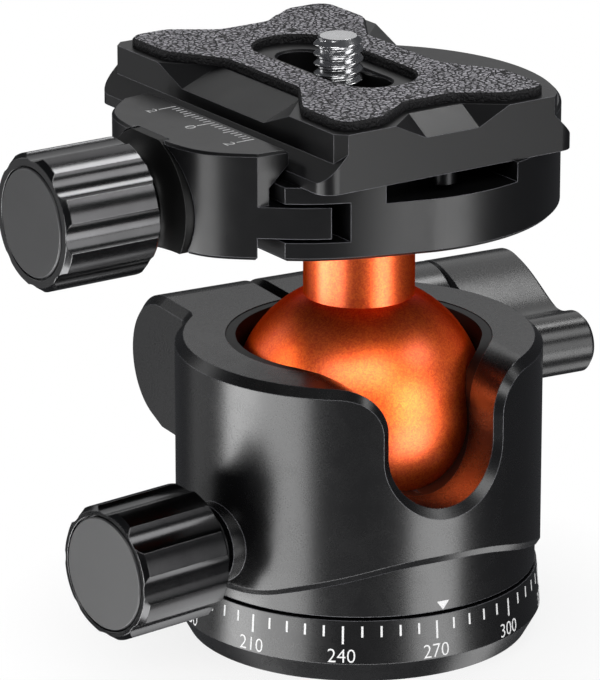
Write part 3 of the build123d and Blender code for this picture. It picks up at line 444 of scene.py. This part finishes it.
def build_effects():
    """Makes the shader node groups that the finishes share."""
    vector, value = "NodeSocketVector", "NodeSocketFloat"

    tree, start, end = effect(
        "Blasted grain",
        [("Vector", vector, None), ("Grain", value, 0.15)],
        [("Height", value), ("Cloud", value)],
    )
    per_grain = maths(tree, "DIVIDE", 1.0, start.outputs["Grain"])
    tree.links.new(noise(tree, start.outputs["Vector"], per_grain, 2.0, 0.6), end.inputs["Height"])
    tree.links.new(noise(tree, start.outputs["Vector"], 0.09, 3.0, 0.55), end.inputs["Cloud"])

    # its Edge mask lightens the colour of rounded edges, for wear and as a painted highlight
    tree, start, end = effect(
        "Edge wear and highlight",
        [("Vector", vector, None), ("Radius", value, 0.0002)],
        [("Normal", vector), ("Edge", value)],
    )
    rounded = add(tree, "ShaderNodeBevel", {"Radius": start.outputs["Radius"]}, samples=6)
    facing = add(
        tree, "ShaderNodeVectorMath",
        {0: rounded.outputs["Normal"], 1: add(tree, "ShaderNodeNewGeometry").outputs["Normal"]},
        operation="DOT_PRODUCT",
    )
    bent = remap(tree, facing.outputs["Value"], 0.985, 0.82, 0.0, 1.0)
    patchy = remap(tree, noise(tree, start.outputs["Vector"], 0.8, 3.0, 0.7), 0.3, 0.7, 0.55, 1.0)
    tree.links.new(rounded.outputs["Normal"], end.inputs["Normal"])
    tree.links.new(maths(tree, "MULTIPLY", bent, patchy), end.inputs["Edge"])

    tree, start, end = effect(
        "Turned rings",
        [("Vector", vector, None), ("Spacing", value, 0.12)],
        [("Height", value)],
    )
    reach = add(
        tree, "ShaderNodeVectorMath",
        {0: start.outputs["Vector"], 1: (1.0, 1.0, 0.0)}, operation="MULTIPLY",
    )
    reach = add(tree, "ShaderNodeVectorMath", {0: reach.outputs[0]}, operation="LENGTH").outputs["Value"]
    turns = maths(tree, "MULTIPLY", maths(tree, "DIVIDE", reach, start.outputs["Spacing"]), 2 * math.pi)
    uneven = add(
        tree, "ShaderNodeTexNoise",
        {"W": reach, "Scale": 2.6, "Detail": 2.0}, noise_dimensions="1D",
    )
    wave = maths(tree, "MULTIPLY", maths(tree, "SINE", turns), uneven.outputs["Fac"])
    tree.links.new(remap(tree, wave, -1.0, 1.0, 0.0, 1.0), end.inputs["Height"])

    tree, start, end = effect(
        "Handling marks",
        [("Vector", vector, None)],
        [("Smudge", value), ("Scratch", value)],
    )
    smudge = noise(tree, start.outputs["Vector"], 0.22, 4.0, 0.6, Distortion=0.8)
    stretched = add(
        tree, "ShaderNodeVectorMath",
        {0: start.outputs["Vector"], 1: (0.35, 2.4, 0.5)}, operation="MULTIPLY",
    )
    hair = noise(tree, stretched.outputs[0], 2.2, 5.0, 0.75)
    tree.links.new(remap(tree, smudge, 0.35, 0.7, 0.0, 1.0), end.inputs["Smudge"])
    tree.links.new(remap(tree, hair, 0.62, 0.72, 0.0, 1.0), end.inputs["Scratch"])


def use(tree, name, **values):
    """A shared effect placed in a material with its own values."""
    made = tree.nodes.new("ShaderNodeGroup")
    made.node_tree = bpy.data.node_groups[name]
    for key, value in values.items():
        if isinstance(value, bpy.types.NodeSocket):
            tree.links.new(value, made.inputs[key])
        else:
            made.inputs[key].default_value = value
    return made.outputs


def blank(name):
    """An emptied material: itself, its node tree, its Principled shader, Object coordinates in millimetres.

    Where the CAD pieces already wear a plain material of that name, it is the one that is emptied.
    """
    made = bpy.data.materials.get(name) or bpy.data.materials.new(name)
    made.use_nodes = True
    tree = made.node_tree
    tree.nodes.clear()
    shader = tree.nodes.new("ShaderNodeBsdfPrincipled")
    output = tree.nodes.new("ShaderNodeOutputMaterial")
    tree.links.new(shader.outputs["BSDF"], output.inputs["Surface"])
    place = add(tree, "ShaderNodeTexCoord").outputs["Object"]
    mm = add(tree, "ShaderNodeVectorMath", {0: place, 3: 1 / MM}, operation="SCALE").outputs[0]
    return made, tree, shader, mm


def tint(tree, amount, first, second):
    """A colour between two, by an amount."""
    made = add(tree, "ShaderNodeMix", {"Factor": amount}, data_type="RGBA")
    made.inputs["A"].default_value = (*first, 1.0)
    made.inputs["B"].default_value = (*second, 1.0)
    return made.outputs["Result"]


def bump(tree, height, depth, normal=None):
    """A normal from a height, with its depth in millimetres."""
    links = {"Height": height, "Distance": depth * MM, "Strength": 1.0}
    if normal is not None:
        links["Normal"] = normal
    return add(tree, "ShaderNodeBump", links).outputs["Normal"]


def hard_finish(
    name, base, worn, metal=0.0, roughness=0.35, spread=0.03, specular=0.5,
    grain=0.17, depth=0.0022, edge=0.14, wear=0.5, rings=0.0, ring_depth=0.0006,
):
    """A metal or hard plastic: grain or turned rings, rounded edges lightened by wear and by a painted
    highlight, smudges and scratches.

    Smudges move the roughness by the spread, the grain moves it by 0.08 about its middle, and
    scratches lower it by 0.02. Lengths are in millimetres.
    """
    made, tree, shader, mm = blank(name)
    grains = use(tree, "Blasted grain", Vector=mm, Grain=grain)
    edges = use(tree, "Edge wear and highlight", Vector=mm, Radius=edge * MM)
    marks = use(tree, "Handling marks", Vector=mm)
    darker = tuple(0.8 * c for c in base)
    cloudy = tint(tree, remap(tree, grains["Cloud"], 0.3, 0.7, 0.0, 1.0), darker, base)
    # painted highlight: the edges' lighter colour is partly wear and partly a painted highlight
    wear_and_highlight_share = maths(tree, "MULTIPLY", edges["Edge"], wear)
    wear_and_highlight_colour = add(tree, "ShaderNodeMix", {"Factor": wear_and_highlight_share, "A": cloudy}, data_type="RGBA")
    wear_and_highlight_colour.inputs["B"].default_value = (*worn, 1.0)
    tree.links.new(wear_and_highlight_colour.outputs["Result"], shader.inputs["Base Color"])
    rough = remap(tree, marks["Smudge"], 0.0, 1.0, roughness - spread / 2, roughness + spread / 2)
    speckle = maths(tree, "MULTIPLY", grains["Height"], 0.08)
    rough = maths(tree, "SUBTRACT", maths(tree, "ADD", rough, speckle), 0.04)
    rough = maths(tree, "SUBTRACT", rough, maths(tree, "MULTIPLY", marks["Scratch"], 0.02))
    tree.links.new(rough, shader.inputs["Roughness"])
    normal = bump(tree, grains["Height"], depth, edges["Normal"])
    if rings:
        turned = use(tree, "Turned rings", Vector=mm, Spacing=rings)
        normal = bump(tree, turned["Height"], ring_depth, normal)
    tree.links.new(normal, shader.inputs["Normal"])
    shader.inputs["Metallic"].default_value = metal
    shader.inputs["Specular IOR Level"].default_value = specular
    return made


def ball_finish(base):
    """Anodised orange metal with a coarse sparkle, under a soft clear layer that turns highlights pale."""
    made, tree, shader, mm = blank("ball_orange")
    shader.inputs["Specular Tint"].default_value = (0.85, 0.12, 0.08, 1.0)
    marks = use(tree, "Handling marks", Vector=mm)
    fine = use(tree, "Blasted grain", Vector=mm, Grain=0.2)
    flakes = add(tree, "ShaderNodeTexVoronoi", {"Vector": mm, "Scale": 5.6, "Randomness": 1.0})
    spark = add(tree, "ShaderNodeSeparateColor", {"Color": flakes.outputs["Color"]}).outputs[0]
    deep = tuple(c * k for c, k in zip(base, (0.8, 0.56, 0.56)))
    light = tuple(min(1.0, c * k) for c, k in zip(base, (1.05, 1.55, 1.9)))
    tree.links.new(tint(tree, spark, deep, light), shader.inputs["Base Color"])
    slant = add(tree, "ShaderNodeLayerWeight", {"Blend": 0.5}).outputs["Facing"]
    tree.links.new(remap(tree, slant, 0.3, 0.75, 0.8, 0.03), shader.inputs["Coat Weight"])
    smudged = remap(tree, marks["Smudge"], 0.0, 1.0, 0.36, 0.39)
    rough = maths(tree, "ADD", smudged, maths(tree, "MULTIPLY", spark, 0.04))
    tree.links.new(rough, shader.inputs["Roughness"])
    height = maths(tree, "ADD", maths(tree, "MULTIPLY", flakes.outputs["Distance"], 0.6), fine["Height"])
    tree.links.new(bump(tree, height, 0.005), shader.inputs["Normal"])
    shader.inputs["Metallic"].default_value = 1.0
    shader.inputs["Coat IOR"].default_value = 1.6
    shader.inputs["Coat Roughness"].default_value = 0.33
    return made


def pad_finish(base):
    """Rubber with a coarse pebbled grain on its upper side, in random specks: painted light on the crests of
    faces that look up, painted shade in the creases and on the sides.
    """
    made, tree, shader, mm = blank("pad_rubber")
    warp = add(tree, "ShaderNodeTexNoise", {"Vector": mm, "Scale": 1.1, "Detail": 2.0})
    moved = add(
        tree, "ShaderNodeVectorMath",
        {0: warp.outputs["Color"], 1: (0.9, 0.9, 0.0), 2: mm}, operation="MULTIPLY_ADD",
    )
    pebbles = add(
        tree, "ShaderNodeTexVoronoi", {"Vector": moved.outputs[0], "Scale": 1.45, "Randomness": 1.0},
        feature="DISTANCE_TO_EDGE",
    )
    crumbs = noise(tree, mm, 1.9, 3.0, 0.65)
    # painted light and shade: the grain's crests get the light colour, its creases the painted shade
    crest = remap(tree, pebbles.outputs["Distance"], 0.0, 0.2, 0.0, 1.0)
    height = maths(tree, "ADD", maths(tree, "MULTIPLY", crest, 0.6), crumbs)
    # painted light: only faces that look up get the light colour, so the sides keep the painted shade
    upright = add(tree, "ShaderNodeSeparateXYZ", {0: add(tree, "ShaderNodeTexCoord").outputs["Normal"]})
    upper = remap(tree, upright.outputs["Z"], 0.85, 0.98, 0.0, 1.0)
    painted_shade = tuple(0.02 * c for c in base)
    specks = remap(tree, noise(tree, mm, 3.4, 2.0, 0.6), 0.36, 0.66, 0.3, 1.0)
    light = maths(tree, "MULTIPLY", remap(tree, height, 0.7, 1.12, 0.0, 1.0), upper)
    light = maths(tree, "MULTIPLY", light, specks)
    tree.links.new(tint(tree, light, painted_shade, base), shader.inputs["Base Color"])
    tree.links.new(remap(tree, crumbs, 0.3, 0.7, 0.42, 0.66), shader.inputs["Roughness"])
    tree.links.new(bump(tree, height, 0.2), shader.inputs["Normal"])
    shader.inputs["Specular IOR Level"].default_value = 0.2
    return made


def ink_finish(base):
    """Matt white ink, a little uneven where it has worn."""
    made, tree, shader, mm = blank("print_white")
    grains = use(tree, "Blasted grain", Vector=mm, Grain=0.12)
    worn = tuple(0.75 * c for c in base)
    whole = remap(tree, grains["Height"], 0.35, 0.6, 0.0, 1.0)
    tree.links.new(tint(tree, whole, worn, base), shader.inputs["Base Color"])
    tree.links.new(remap(tree, grains["Height"], 0.0, 1.0, 0.5, 0.65), shader.inputs["Roughness"])
    tree.links.new(bump(tree, grains["Height"], 0.002), shader.inputs["Normal"])
    return made


# ---------------------------------------------------------------- operators
class BALLHEAD_OT_finishes(bpy.types.Operator):
    """Makes the finishes and gives each CAD piece its own"""

    bl_idname = "ballhead.finishes"
    bl_label = "Finishes"

    def execute(self, context):
        colours = context.scene.ballhead_finish
        build_effects()
        black, bare_and_highlit_edge = tuple(colours.anodised), 70   # bare metal and a painted edge highlight are so many times as light
        worn = tuple(min(1.0, bare_and_highlit_edge * c) for c in black)
        black_metal = {"base": black, "worn": worn, "wear": colours.edge_wear}
        metal = {"metal": 1.0, "edge": 0.1}
        finished = [
            hard_finish("body_black", **black_metal, roughness=0.27, specular=0.75),
            hard_finish(
                "base_black", **black_metal, roughness=0.28, specular=0.75, rings=0.16, ring_depth=0.0003,
            ),
            hard_finish("clamp_black", **black_metal, roughness=0.31, specular=0.46),
            hard_finish("plate_black", **black_metal, roughness=0.34, specular=0.42),
            hard_finish(
                "knob_black", (0.09, 0.09, 0.092), (0.4, 0.4, 0.4), metal=1.0, roughness=0.18, depth=0.0004,
            ),
            hard_finish(
                "cap_grey", tuple(colours.cap), worn, roughness=0.38, specular=0.75, rings=0.22, depth=0.004,
            ),
            hard_finish("steel", (0.42, 0.42, 0.43), (0.7, 0.7, 0.7), **metal, roughness=0.28, rings=0.2),
            hard_finish("black_steel", (0.03, 0.03, 0.031), (0.3, 0.3, 0.3), **metal, roughness=0.35),
            hard_finish("brass", (0.62, 0.43, 0.17), (0.8, 0.62, 0.3), **metal, roughness=0.3),
            hard_finish(
                "chrome", (0.9, 0.9, 0.91), (0.95, 0.95, 0.95), metal=1.0, roughness=0.2, spread=0.05,
                edge=0.06, grain=0.3, depth=0.0004,
            ),
            hard_finish(
                "spring_steel", (0.36, 0.36, 0.38), (0.6, 0.6, 0.6), metal=1.0, roughness=0.3, edge=0.08,
            ),
            hard_finish(
                "seat_plastic", (0.006, 0.006, 0.006), (0.2, 0.2, 0.2), roughness=0.4, specular=0.2, edge=0.1,
            ),
            hard_finish("white_plastic", (0.72, 0.72, 0.69), (0.8, 0.8, 0.78), roughness=0.45, edge=0.12),
            ball_finish(tuple(colours.ball)),
            pad_finish(tuple(colours.pad)),
            ink_finish(tuple(colours.ink)),
        ]
        for name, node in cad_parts.items():
            bare = [slot.material.name for slot in node.material_slots if slot.material not in finished]
            if bare or not node.material_slots:
                raise RuntimeError(f"{name} wears {bare}, which is not one of the finishes")
        return {"FINISHED"}


class BALLHEAD_OT_pan_scale(bpy.types.Operator):
    """Prints the degree scale on the pan base's flank"""

    bl_idname = "ballhead.pan_scale"
    bl_label = "Pan Scale"

    def execute(self, context):
        sizes = context.scene.ballhead_scales
        count = round(2 * math.pi / sizes.step)
        reading = np.arange(count) * sizes.step
        numbered = np.arange(count) % 5 == 0
        low = sizes.tick_top - np.where(numbered, sizes.long_tick, sizes.short_tick)
        height = np.stack([low, np.full(count, sizes.tick_top)], axis=-1)[:, None, :, None]
        radius = flank_radius(height) + BOTH_SIDES[None, :, None, None] * sizes.ink_depth
        half = BOTH_EDGES[None, None, None, :] * sizes.tick_width / BASE_RADIUS
        turn = (sizes.zero + reading)[:, None, None, None] + half
        corners = np.broadcast_arrays(radius * np.cos(turn), radius * np.sin(turn), height)
        parts = [boxes(np.stack(corners, axis=-1))]
        for where in reading[numbered]:
            text = str(round(math.degrees(where)))
            width = sizes.number_height * sizes.digit_shape * len(text)
            points, faces = number(text, sizes.number_height, width, sizes.ink_depth)
            place = sizes.zero + where - sizes.number_shift
            parts.append((around(points, place, sizes.number_foot, flank_radius), faces))
        piece("degree_scale", joined(parts), "pan_base", "print_white")
        return {"FINISHED"}


class BALLHEAD_OT_pointer(bpy.types.Operator):
    """Prints the index mark on the housing's skirt, above the degree scale"""

    bl_idname = "ballhead.pointer"
    bl_label = "Index Mark"

    def execute(self, context):
        sizes = context.scene.ballhead_scales
        half = sizes.mark_width / 2
        flat = ((0.0, 0.0), (half, sizes.mark_height), (-half, sizes.mark_height))
        points = np.array([[*point, side * sizes.ink_depth] for side in BOTH_SIDES for point in flat])
        faces = [[3, 4, 5], [2, 1, 0], [0, 1, 4, 3], [1, 2, 5, 4], [2, 0, 3, 5]]
        shape = around(points, sizes.mark_azimuth, sizes.mark_foot, lambda height: SKIRT_RADIUS + 0 * height)
        piece("index_mark", (shape, faces), "housing", "print_white")
        return {"FINISHED"}


class BALLHEAD_OT_jaw_scale(bpy.types.Operator):
    """Prints the short scale on top of the clamp's moving jaw"""

    bl_idname = "ballhead.jaw_scale"
    bl_label = "Jaw Scale"

    def execute(self, context):
        depth = context.scene.ballhead_scales.ink_depth
        sizes = context.scene.ballhead_jaw_scale
        order = np.arange(-10, 11)
        y = order * sizes.step - sizes.forward
        side = BOTH_EDGES[None, None, :, None] * sizes.tick_width
        lengths = (sizes.long_tick, sizes.middle_tick)
        reach = np.select([order % 10 == 0, order % 5 == 0], lengths, sizes.short_tick)
        x = -sizes.near_end - np.stack([reach, 0 * reach], axis=-1)[:, None, None, :]
        z = JAW_TOP + BOTH_SIDES[None, :, None, None] * depth
        corners = np.broadcast_arrays(x, y[:, None, None, None] + side, z)
        parts = [boxes(np.stack(corners, axis=-1))]
        for text, tick in (("2", 0), ("0", 10), ("2", 20)):
            points, faces = number(text, sizes.number_height, sizes.number_width, depth)
            across, up, out = points.T
            flat = np.stack([up - sizes.number_foot, y[tick] - across, JAW_TOP + out], axis=-1)
            parts.append((flat, faces))
        points, faces = joined(parts)
        piece("jaw_scale", (on_clamp(points), faces), "jaw", "print_white")
        return {"FINISHED"}


class BALLHEAD_OT_liner(bpy.types.Operator):
    """Shapes the ball's plastic liner to the flared mouth of the housing's notch"""

    bl_idname = "ballhead.liner"
    bl_label = "Ball Liner"

    def execute(self, context):
        sizes = context.scene.ballhead_liner
        low, high = (corner.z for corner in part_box("ball_liner"))
        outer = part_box("ball_liner")[1].x
        columns, curve_rows, wall_rows, ring_rows = 121, 13, 25, 4
        progress = np.linspace(0, 1, columns)
        # the part beside the notch: its rows follow the notch's half circle, then rise evenly
        curved = BALL_HEIGHT - sizes.notch * np.cos(np.linspace(0, np.pi / 2, curve_rows))
        rows = np.concatenate([curved, np.linspace(BALL_HEIGHT, high, wall_rows)[1:]])
        notched = self.ring(rows, outer, sizes, self.opening(rows, high, sizes), progress)
        # the whole ring under the notch
        rows = np.linspace(low, BALL_HEIGHT - sizes.notch, ring_rows)
        whole = self.ring(rows, outer, sizes, 0 * rows, progress[:-1])
        shape = joined([tube(notched, False), tube(whole, True)])
        made = piece("ball_liner_flared", shape, "housing", "seat_plastic", smooth=True)
        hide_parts("ball_liner")
        return {"FINISHED"}

    def opening(self, rows, high, sizes):
        """The notch's half-width by height: a half circle, a straight part, and a mouth that flares out.

        Below the ball's centre it is sqrt(n^2 - h^2), and in the mouth n + m - sqrt(m^2 - d^2), with n
        the half-width, h the drop below the centre, m the mouth's radius and d the height in the mouth.
        """
        below = np.clip(BALL_HEIGHT - rows, 0, sizes.notch)
        inside = np.clip(rows - (high - sizes.mouth), 0, sizes.mouth)
        flare = sizes.mouth - np.sqrt(sizes.mouth ** 2 - inside ** 2)
        return np.sqrt(sizes.notch ** 2 - below ** 2) + flare

    def ring(self, rows, outer, sizes, half_width, progress):
        """Sections of the liner round Z, from one side of the notch to the other.

        The inner side is the ball's seat, sqrt(s^2 - h^2), or the lip's cone where that is wider.
        """
        seat = np.sqrt(sizes.seat ** 2 - (rows - BALL_HEIGHT) ** 2)
        cone = sizes.lip - (rows[-1] - rows) * math.tan(sizes.lip_slope)
        inner = np.where(rows > rows[-1] - sizes.lip_depth, np.maximum(seat, cone), seat)
        radius = np.concatenate([np.full_like(rows, outer), inner[::-1]])
        height = np.concatenate([rows, rows[::-1]])
        start = np.arcsin(np.concatenate([half_width, half_width[::-1]]) / radius)
        turn = -np.pi / 2 + start + progress[:, None] * (2 * np.pi - 2 * start)
        return np.stack([radius * np.cos(turn), radius * np.sin(turn), height + 0 * turn], axis=-1)


class BALLHEAD_OT_collar(bpy.types.Operator):
    """Shapes the washer under the clamp knob as a flared collar that fills its recess in the jaw with dark
    plastic, as painted shade
    """

    bl_idname = "ballhead.collar"
    bl_label = "Clamp Collar and Shade Fill"

    def execute(self, context):
        sizes = context.scene.ballhead_collar
        low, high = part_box("clamp_washer")
        middle = (low + high) / 2
        floor = math.hypot(middle.x, middle.y) - sizes.washer / 2
        rows, columns = 15, 128
        # from the recess's mouth to the neck: a quarter of an ellipse, hollow side out
        quarter = np.linspace(0, np.pi / 2, rows)
        flare = sizes.foot - (sizes.foot - sizes.neck) * np.sin(quarter)
        rise = sizes.rim + (sizes.reach - sizes.rim) * (1 - np.cos(quarter))
        radius = np.concatenate([[sizes.foot], flare, [sizes.bore, sizes.bore, sizes.hole, sizes.hole]])
        along = np.concatenate([[0.0], rise, [sizes.reach, sizes.washer, sizes.washer, 0.0]])
        turn = np.linspace(0, 2 * np.pi, columns, endpoint=False)[:, None]
        height = np.clip(middle.z + radius * np.cos(turn), JAW_FOOT, JAW_TOP - sizes.sunk)
        sections = np.stack([-(floor + along) + 0 * height, radius * np.sin(turn), height], axis=-1)
        points, faces = tube(sections, True)
        # painted shade: the dark collar covers the recess, where there is only shade
        made = piece("clamp_washer_and_shade_fill", (on_clamp(points), faces), "jaw", "seat_plastic", smooth=True)
        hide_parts("clamp_washer")
        return {"FINISHED"}


class BALLHEAD_OT_camera_screw(bpy.types.Operator):
    """Cuts the camera screw's thread, with its neck and its coin-slotted head"""

    bl_idname = "ballhead.camera_screw"
    bl_label = "Camera Screw"

    def execute(self, context):
        sizes = context.scene.ballhead_threads
        centre = np.array([SCREW_CENTRE.x, SCREW_CENTRE.y, 0.0])
        thread = threaded_rod(
            sizes.camera_radius, sizes.camera_pitch, sizes.camera_depth,
            sizes.camera_foot, SCREW_TOP, sizes.camera_tip,
        )
        neck_columns, head_columns = 48, 64
        head_top, edge, wide = SCREW_FOOT + sizes.head, sizes.head_edge, SCREW_HEAD_RADIUS
        neck = [(sizes.neck, head_top - OVERLAP), (sizes.neck, sizes.camera_foot + OVERLAP)]
        disc = [(wide, SCREW_FOOT + sizes.slot_depth), (wide, head_top - edge), (wide - edge, head_top)]
        cheeks = [self.cheek(side, sizes) for side in (1, -1)]
        points, faces = joined([thread, lathed(neck, neck_columns), lathed(disc, head_columns), *cheeks])
        made = piece("camera_screw_threaded", (points + centre, faces), "camera_screw", "chrome", smooth=True)
        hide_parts("camera_screw")
        return {"FINISHED"}

    def cheek(self, side, sizes):
        """Half of the slotted head: a circle's segment beyond the slot, raised from the foot to the disc."""
        start, count = math.asin(sizes.slot_width / 2 / SCREW_HEAD_RADIUS), 33
        turn = np.linspace(start, math.pi - start, count)
        rim = side * SCREW_HEAD_RADIUS * np.stack([np.cos(turn), np.sin(turn), 0 * turn], axis=-1)
        points = on_clamp(np.vstack([rim, rim]))
        points[:, 2] = np.repeat([SCREW_FOOT, SCREW_FOOT + sizes.slot_depth], count)
        walls = [[i, (i + 1) % count, (i + 1) % count + count, i + count] for i in range(count)]
        return points, [list(range(count))[::-1], list(range(count, 2 * count)), *walls]


class BALLHEAD_OT_tripod_thread(bpy.types.Operator):
    """Lines the bush in the base with its internal thread, which a cone opens at its mouth"""

    bl_idname = "ballhead.tripod_thread"
    bl_label = "Tripod Thread"

    def execute(self, context):
        sizes = context.scene.ballhead_threads
        mouth, clearance = 0.0002, 0.0001   # it starts this high, and ends this far under the bush's top
        mouth_slope, rows_per_turn = 1.2, 16
        rows = int((BUSH_TOP - mouth) / sizes.tripod_pitch * rows_per_turn) + 1
        z = np.linspace(mouth, BUSH_TOP - clearance, rows)[:, None]
        turn = np.arange(THREAD_COLUMNS)[None, :] / THREAD_COLUMNS
        crest = sizes.tripod_radius - sizes.tripod_depth * (1 - thread_wave(z / sizes.tripod_pitch - turn))
        inner = np.maximum(crest, sizes.tripod_radius - (z - mouth) * mouth_slope)
        radius = np.concatenate([np.full_like(inner, sizes.tripod_back), inner[::-1]]).T
        height = np.concatenate([z + 0 * inner, (z + 0 * inner)[::-1]]).T
        around_axis = 2 * np.pi * turn.T
        sections = np.stack([radius * np.cos(around_axis), radius * np.sin(around_axis), height], axis=-1)
        made = piece("bush_thread", tube(sections, True), "pan_base", "steel", smooth=True)
        return {"FINISHED"}


class BALLHEAD_OT_studio(bpy.types.Operator):
    """Sets up the pale floor, the soft lights and the camera"""

    bl_idname = "ballhead.studio"
    bl_label = "Studio"

    def execute(self, context):
        scene, sizes = context.scene, context.scene.ballhead_studio
        scene.view_settings.view_transform = "Standard"
        self.floor()
        self.surroundings(scene)
        for name, side, rise, width, height, radiance in LIGHTS:
            azimuth = sizes.azimuth + math.radians(side)
            made = self.softbox(name, azimuth, math.radians(rise), width, height, radiance * sizes.light)
            if name.startswith("ball"):
                made.data.color = BALL_LIGHT
                lit = bpy.data.collections.new(name)
                lit.objects.link(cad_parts["ball"])
                made.light_linking.receiver_collection = lit
        self.camera(scene, sizes)
        return {"FINISHED"}

    def floor(self):
        """A wide round floor that is seen near the object, from above, and fades into the white."""
        radius, below, count = 1.6, 0.00005, 64
        turn = np.linspace(0, 2 * np.pi, count, endpoint=False)
        points = np.column_stack([radius * np.cos(turn), radius * np.sin(turn), np.full(count, -below)])
        mesh = bpy.data.meshes.new("floor")
        mesh.from_pydata(points.tolist(), [], [list(range(count))])
        made = bpy.data.objects.new("floor", mesh)
        bpy.context.scene.collection.objects.link(made)
        finish, tree, shader, mm = blank("floor_white")
        shader.inputs["Base Color"].default_value = (0.9, 0.9, 0.9, 1.0)
        shader.inputs["Roughness"].default_value = 0.9
        shader.inputs["Specular IOR Level"].default_value = 0.1
        tree.links.new(bump(tree, noise(tree, mm, 1.4, 4.0, 0.5), 0.02), shader.inputs["Normal"])
        reach = add(tree, "ShaderNodeVectorMath", {0: mm}, operation="LENGTH").outputs["Value"]
        near = remap(tree, reach, 24.0, 48.0, 0.15, 0.0)
        above = maths(tree, "SUBTRACT", 1.0, add(tree, "ShaderNodeNewGeometry").outputs["Backfacing"])
        tree.links.new(maths(tree, "MULTIPLY", near, above), shader.inputs["Alpha"])
        made.data.materials.append(finish)
        made.visible_glossy = False
        made.visible_shadow = False

    def surroundings(self, scene):
        """White where the camera sees it, and a dim grey for everything that it lights."""
        world = bpy.data.worlds.new("studio")
        world.use_nodes = True
        tree = world.node_tree
        dim = tree.nodes["Background"]
        dim.inputs["Color"].default_value = (0.9, 0.93, 1.0, 1.0)
        dim.inputs["Strength"].default_value = 0.06
        white = add(tree, "ShaderNodeBackground", {"Color": (1.0, 1.0, 1.0, 1.0), "Strength": 1.0})
        seen = add(tree, "ShaderNodeLightPath").outputs["Is Camera Ray"]
        both = add(tree, "ShaderNodeMixShader", {0: seen})
        tree.links.new(dim.outputs[0], both.inputs[1])
        tree.links.new(white.outputs[0], both.inputs[2])
        tree.links.new(both.outputs[0], tree.nodes["World Output"].inputs["Surface"])
        scene.world = world

    def softbox(self, name, azimuth, rise, width, height, radiance):
        """A soft light that faces the object's middle, its width and height given in degrees."""
        light = bpy.data.lights.new(name, "AREA")
        light.shape = "RECTANGLE"
        light.size = LIGHT_DISTANCE * math.radians(width) * math.cos(rise)
        light.size_y = LIGHT_DISTANCE * math.radians(height)
        light.energy = radiance * math.pi * light.size * light.size_y
        made = bpy.data.objects.new(name, light)
        bpy.context.scene.collection.objects.link(made)
        made.matrix_world = self.facing(azimuth, rise, LIGHT_DISTANCE, LIGHT_AIM)
        made.visible_camera = False
        return made

    def facing(self, azimuth, rise, away, target):
        """The place of something that looks at a target from a direction and a distance."""
        level = np.array([math.cos(azimuth), math.sin(azimuth), 0.0])
        back = level * math.cos(rise) + np.array([0.0, 0.0, math.sin(rise)])
        right = np.array([-math.sin(azimuth), math.cos(azimuth), 0.0])
        axes = Matrix(np.column_stack([right, np.cross(back, right), back])).to_4x4()
        return Matrix.Translation(np.array(target) + away * back) @ axes

    def camera(self, scene, sizes):
        """A long lens that aims a little above the object's middle."""
        data = bpy.data.cameras.new("camera")
        data.lens, data.sensor_width = sizes.lens, 36.0
        made = bpy.data.objects.new("camera", data)
        scene.collection.objects.link(made)
        made.matrix_world = self.facing(sizes.azimuth, sizes.elevation, sizes.distance, CAMERA_AIM)
        scene.camera = made


class BALLHEAD_PT_sidebar(bpy.types.Panel):
    """Lists the sizes, the colours and the steps of the ball head"""

    bl_idname = "BALLHEAD_PT_sidebar"
    bl_label = "Ball Head"
    bl_space_type = "VIEW_3D"
    bl_region_type = "UI"
    bl_category = "Ball Head"

    def draw(self, context):
        for name, kind in GROUPS.items():
            box = self.layout.box()
            box.label(text=kind.__doc__)
            for key in kind.__annotations__:
                box.prop(getattr(context.scene, name), key)
        for step in STEPS:
            self.layout.operator(step.bl_idname)


STEPS = (
    BALLHEAD_OT_finishes,
    BALLHEAD_OT_pan_scale,
    BALLHEAD_OT_pointer,
    BALLHEAD_OT_jaw_scale,
    BALLHEAD_OT_liner,
    BALLHEAD_OT_collar,
    BALLHEAD_OT_camera_screw,
    BALLHEAD_OT_tripod_thread,
    BALLHEAD_OT_studio,
)


def register():
    """Registers the classes and gives the scene its settings."""
    for kind in (*GROUPS.values(), *STEPS, BALLHEAD_PT_sidebar):
        bpy.utils.register_class(kind)
    for name, kind in GROUPS.items():
        setattr(bpy.types.Scene, name, bpy.props.PointerProperty(type=kind))


def unregister():
    """Takes back what register did."""
    for name in GROUPS:
        delattr(bpy.types.Scene, name)
    for kind in (BALLHEAD_PT_sidebar, *reversed(STEPS), *reversed(list(GROUPS.values()))):
        bpy.utils.unregister_class(kind)


def main():
    """Builds everything in order."""
    register()
    bpy.ops.ballhead.finishes()
    bpy.ops.ballhead.pan_scale()
    bpy.ops.ballhead.pointer()
    bpy.ops.ballhead.jaw_scale()
    bpy.ops.ballhead.liner()
    bpy.ops.ballhead.collar()
    bpy.ops.ballhead.camera_screw()
    bpy.ops.ballhead.tripod_thread()
    bpy.ops.ballhead.studio()


if __name__ == "__main__":
    main()
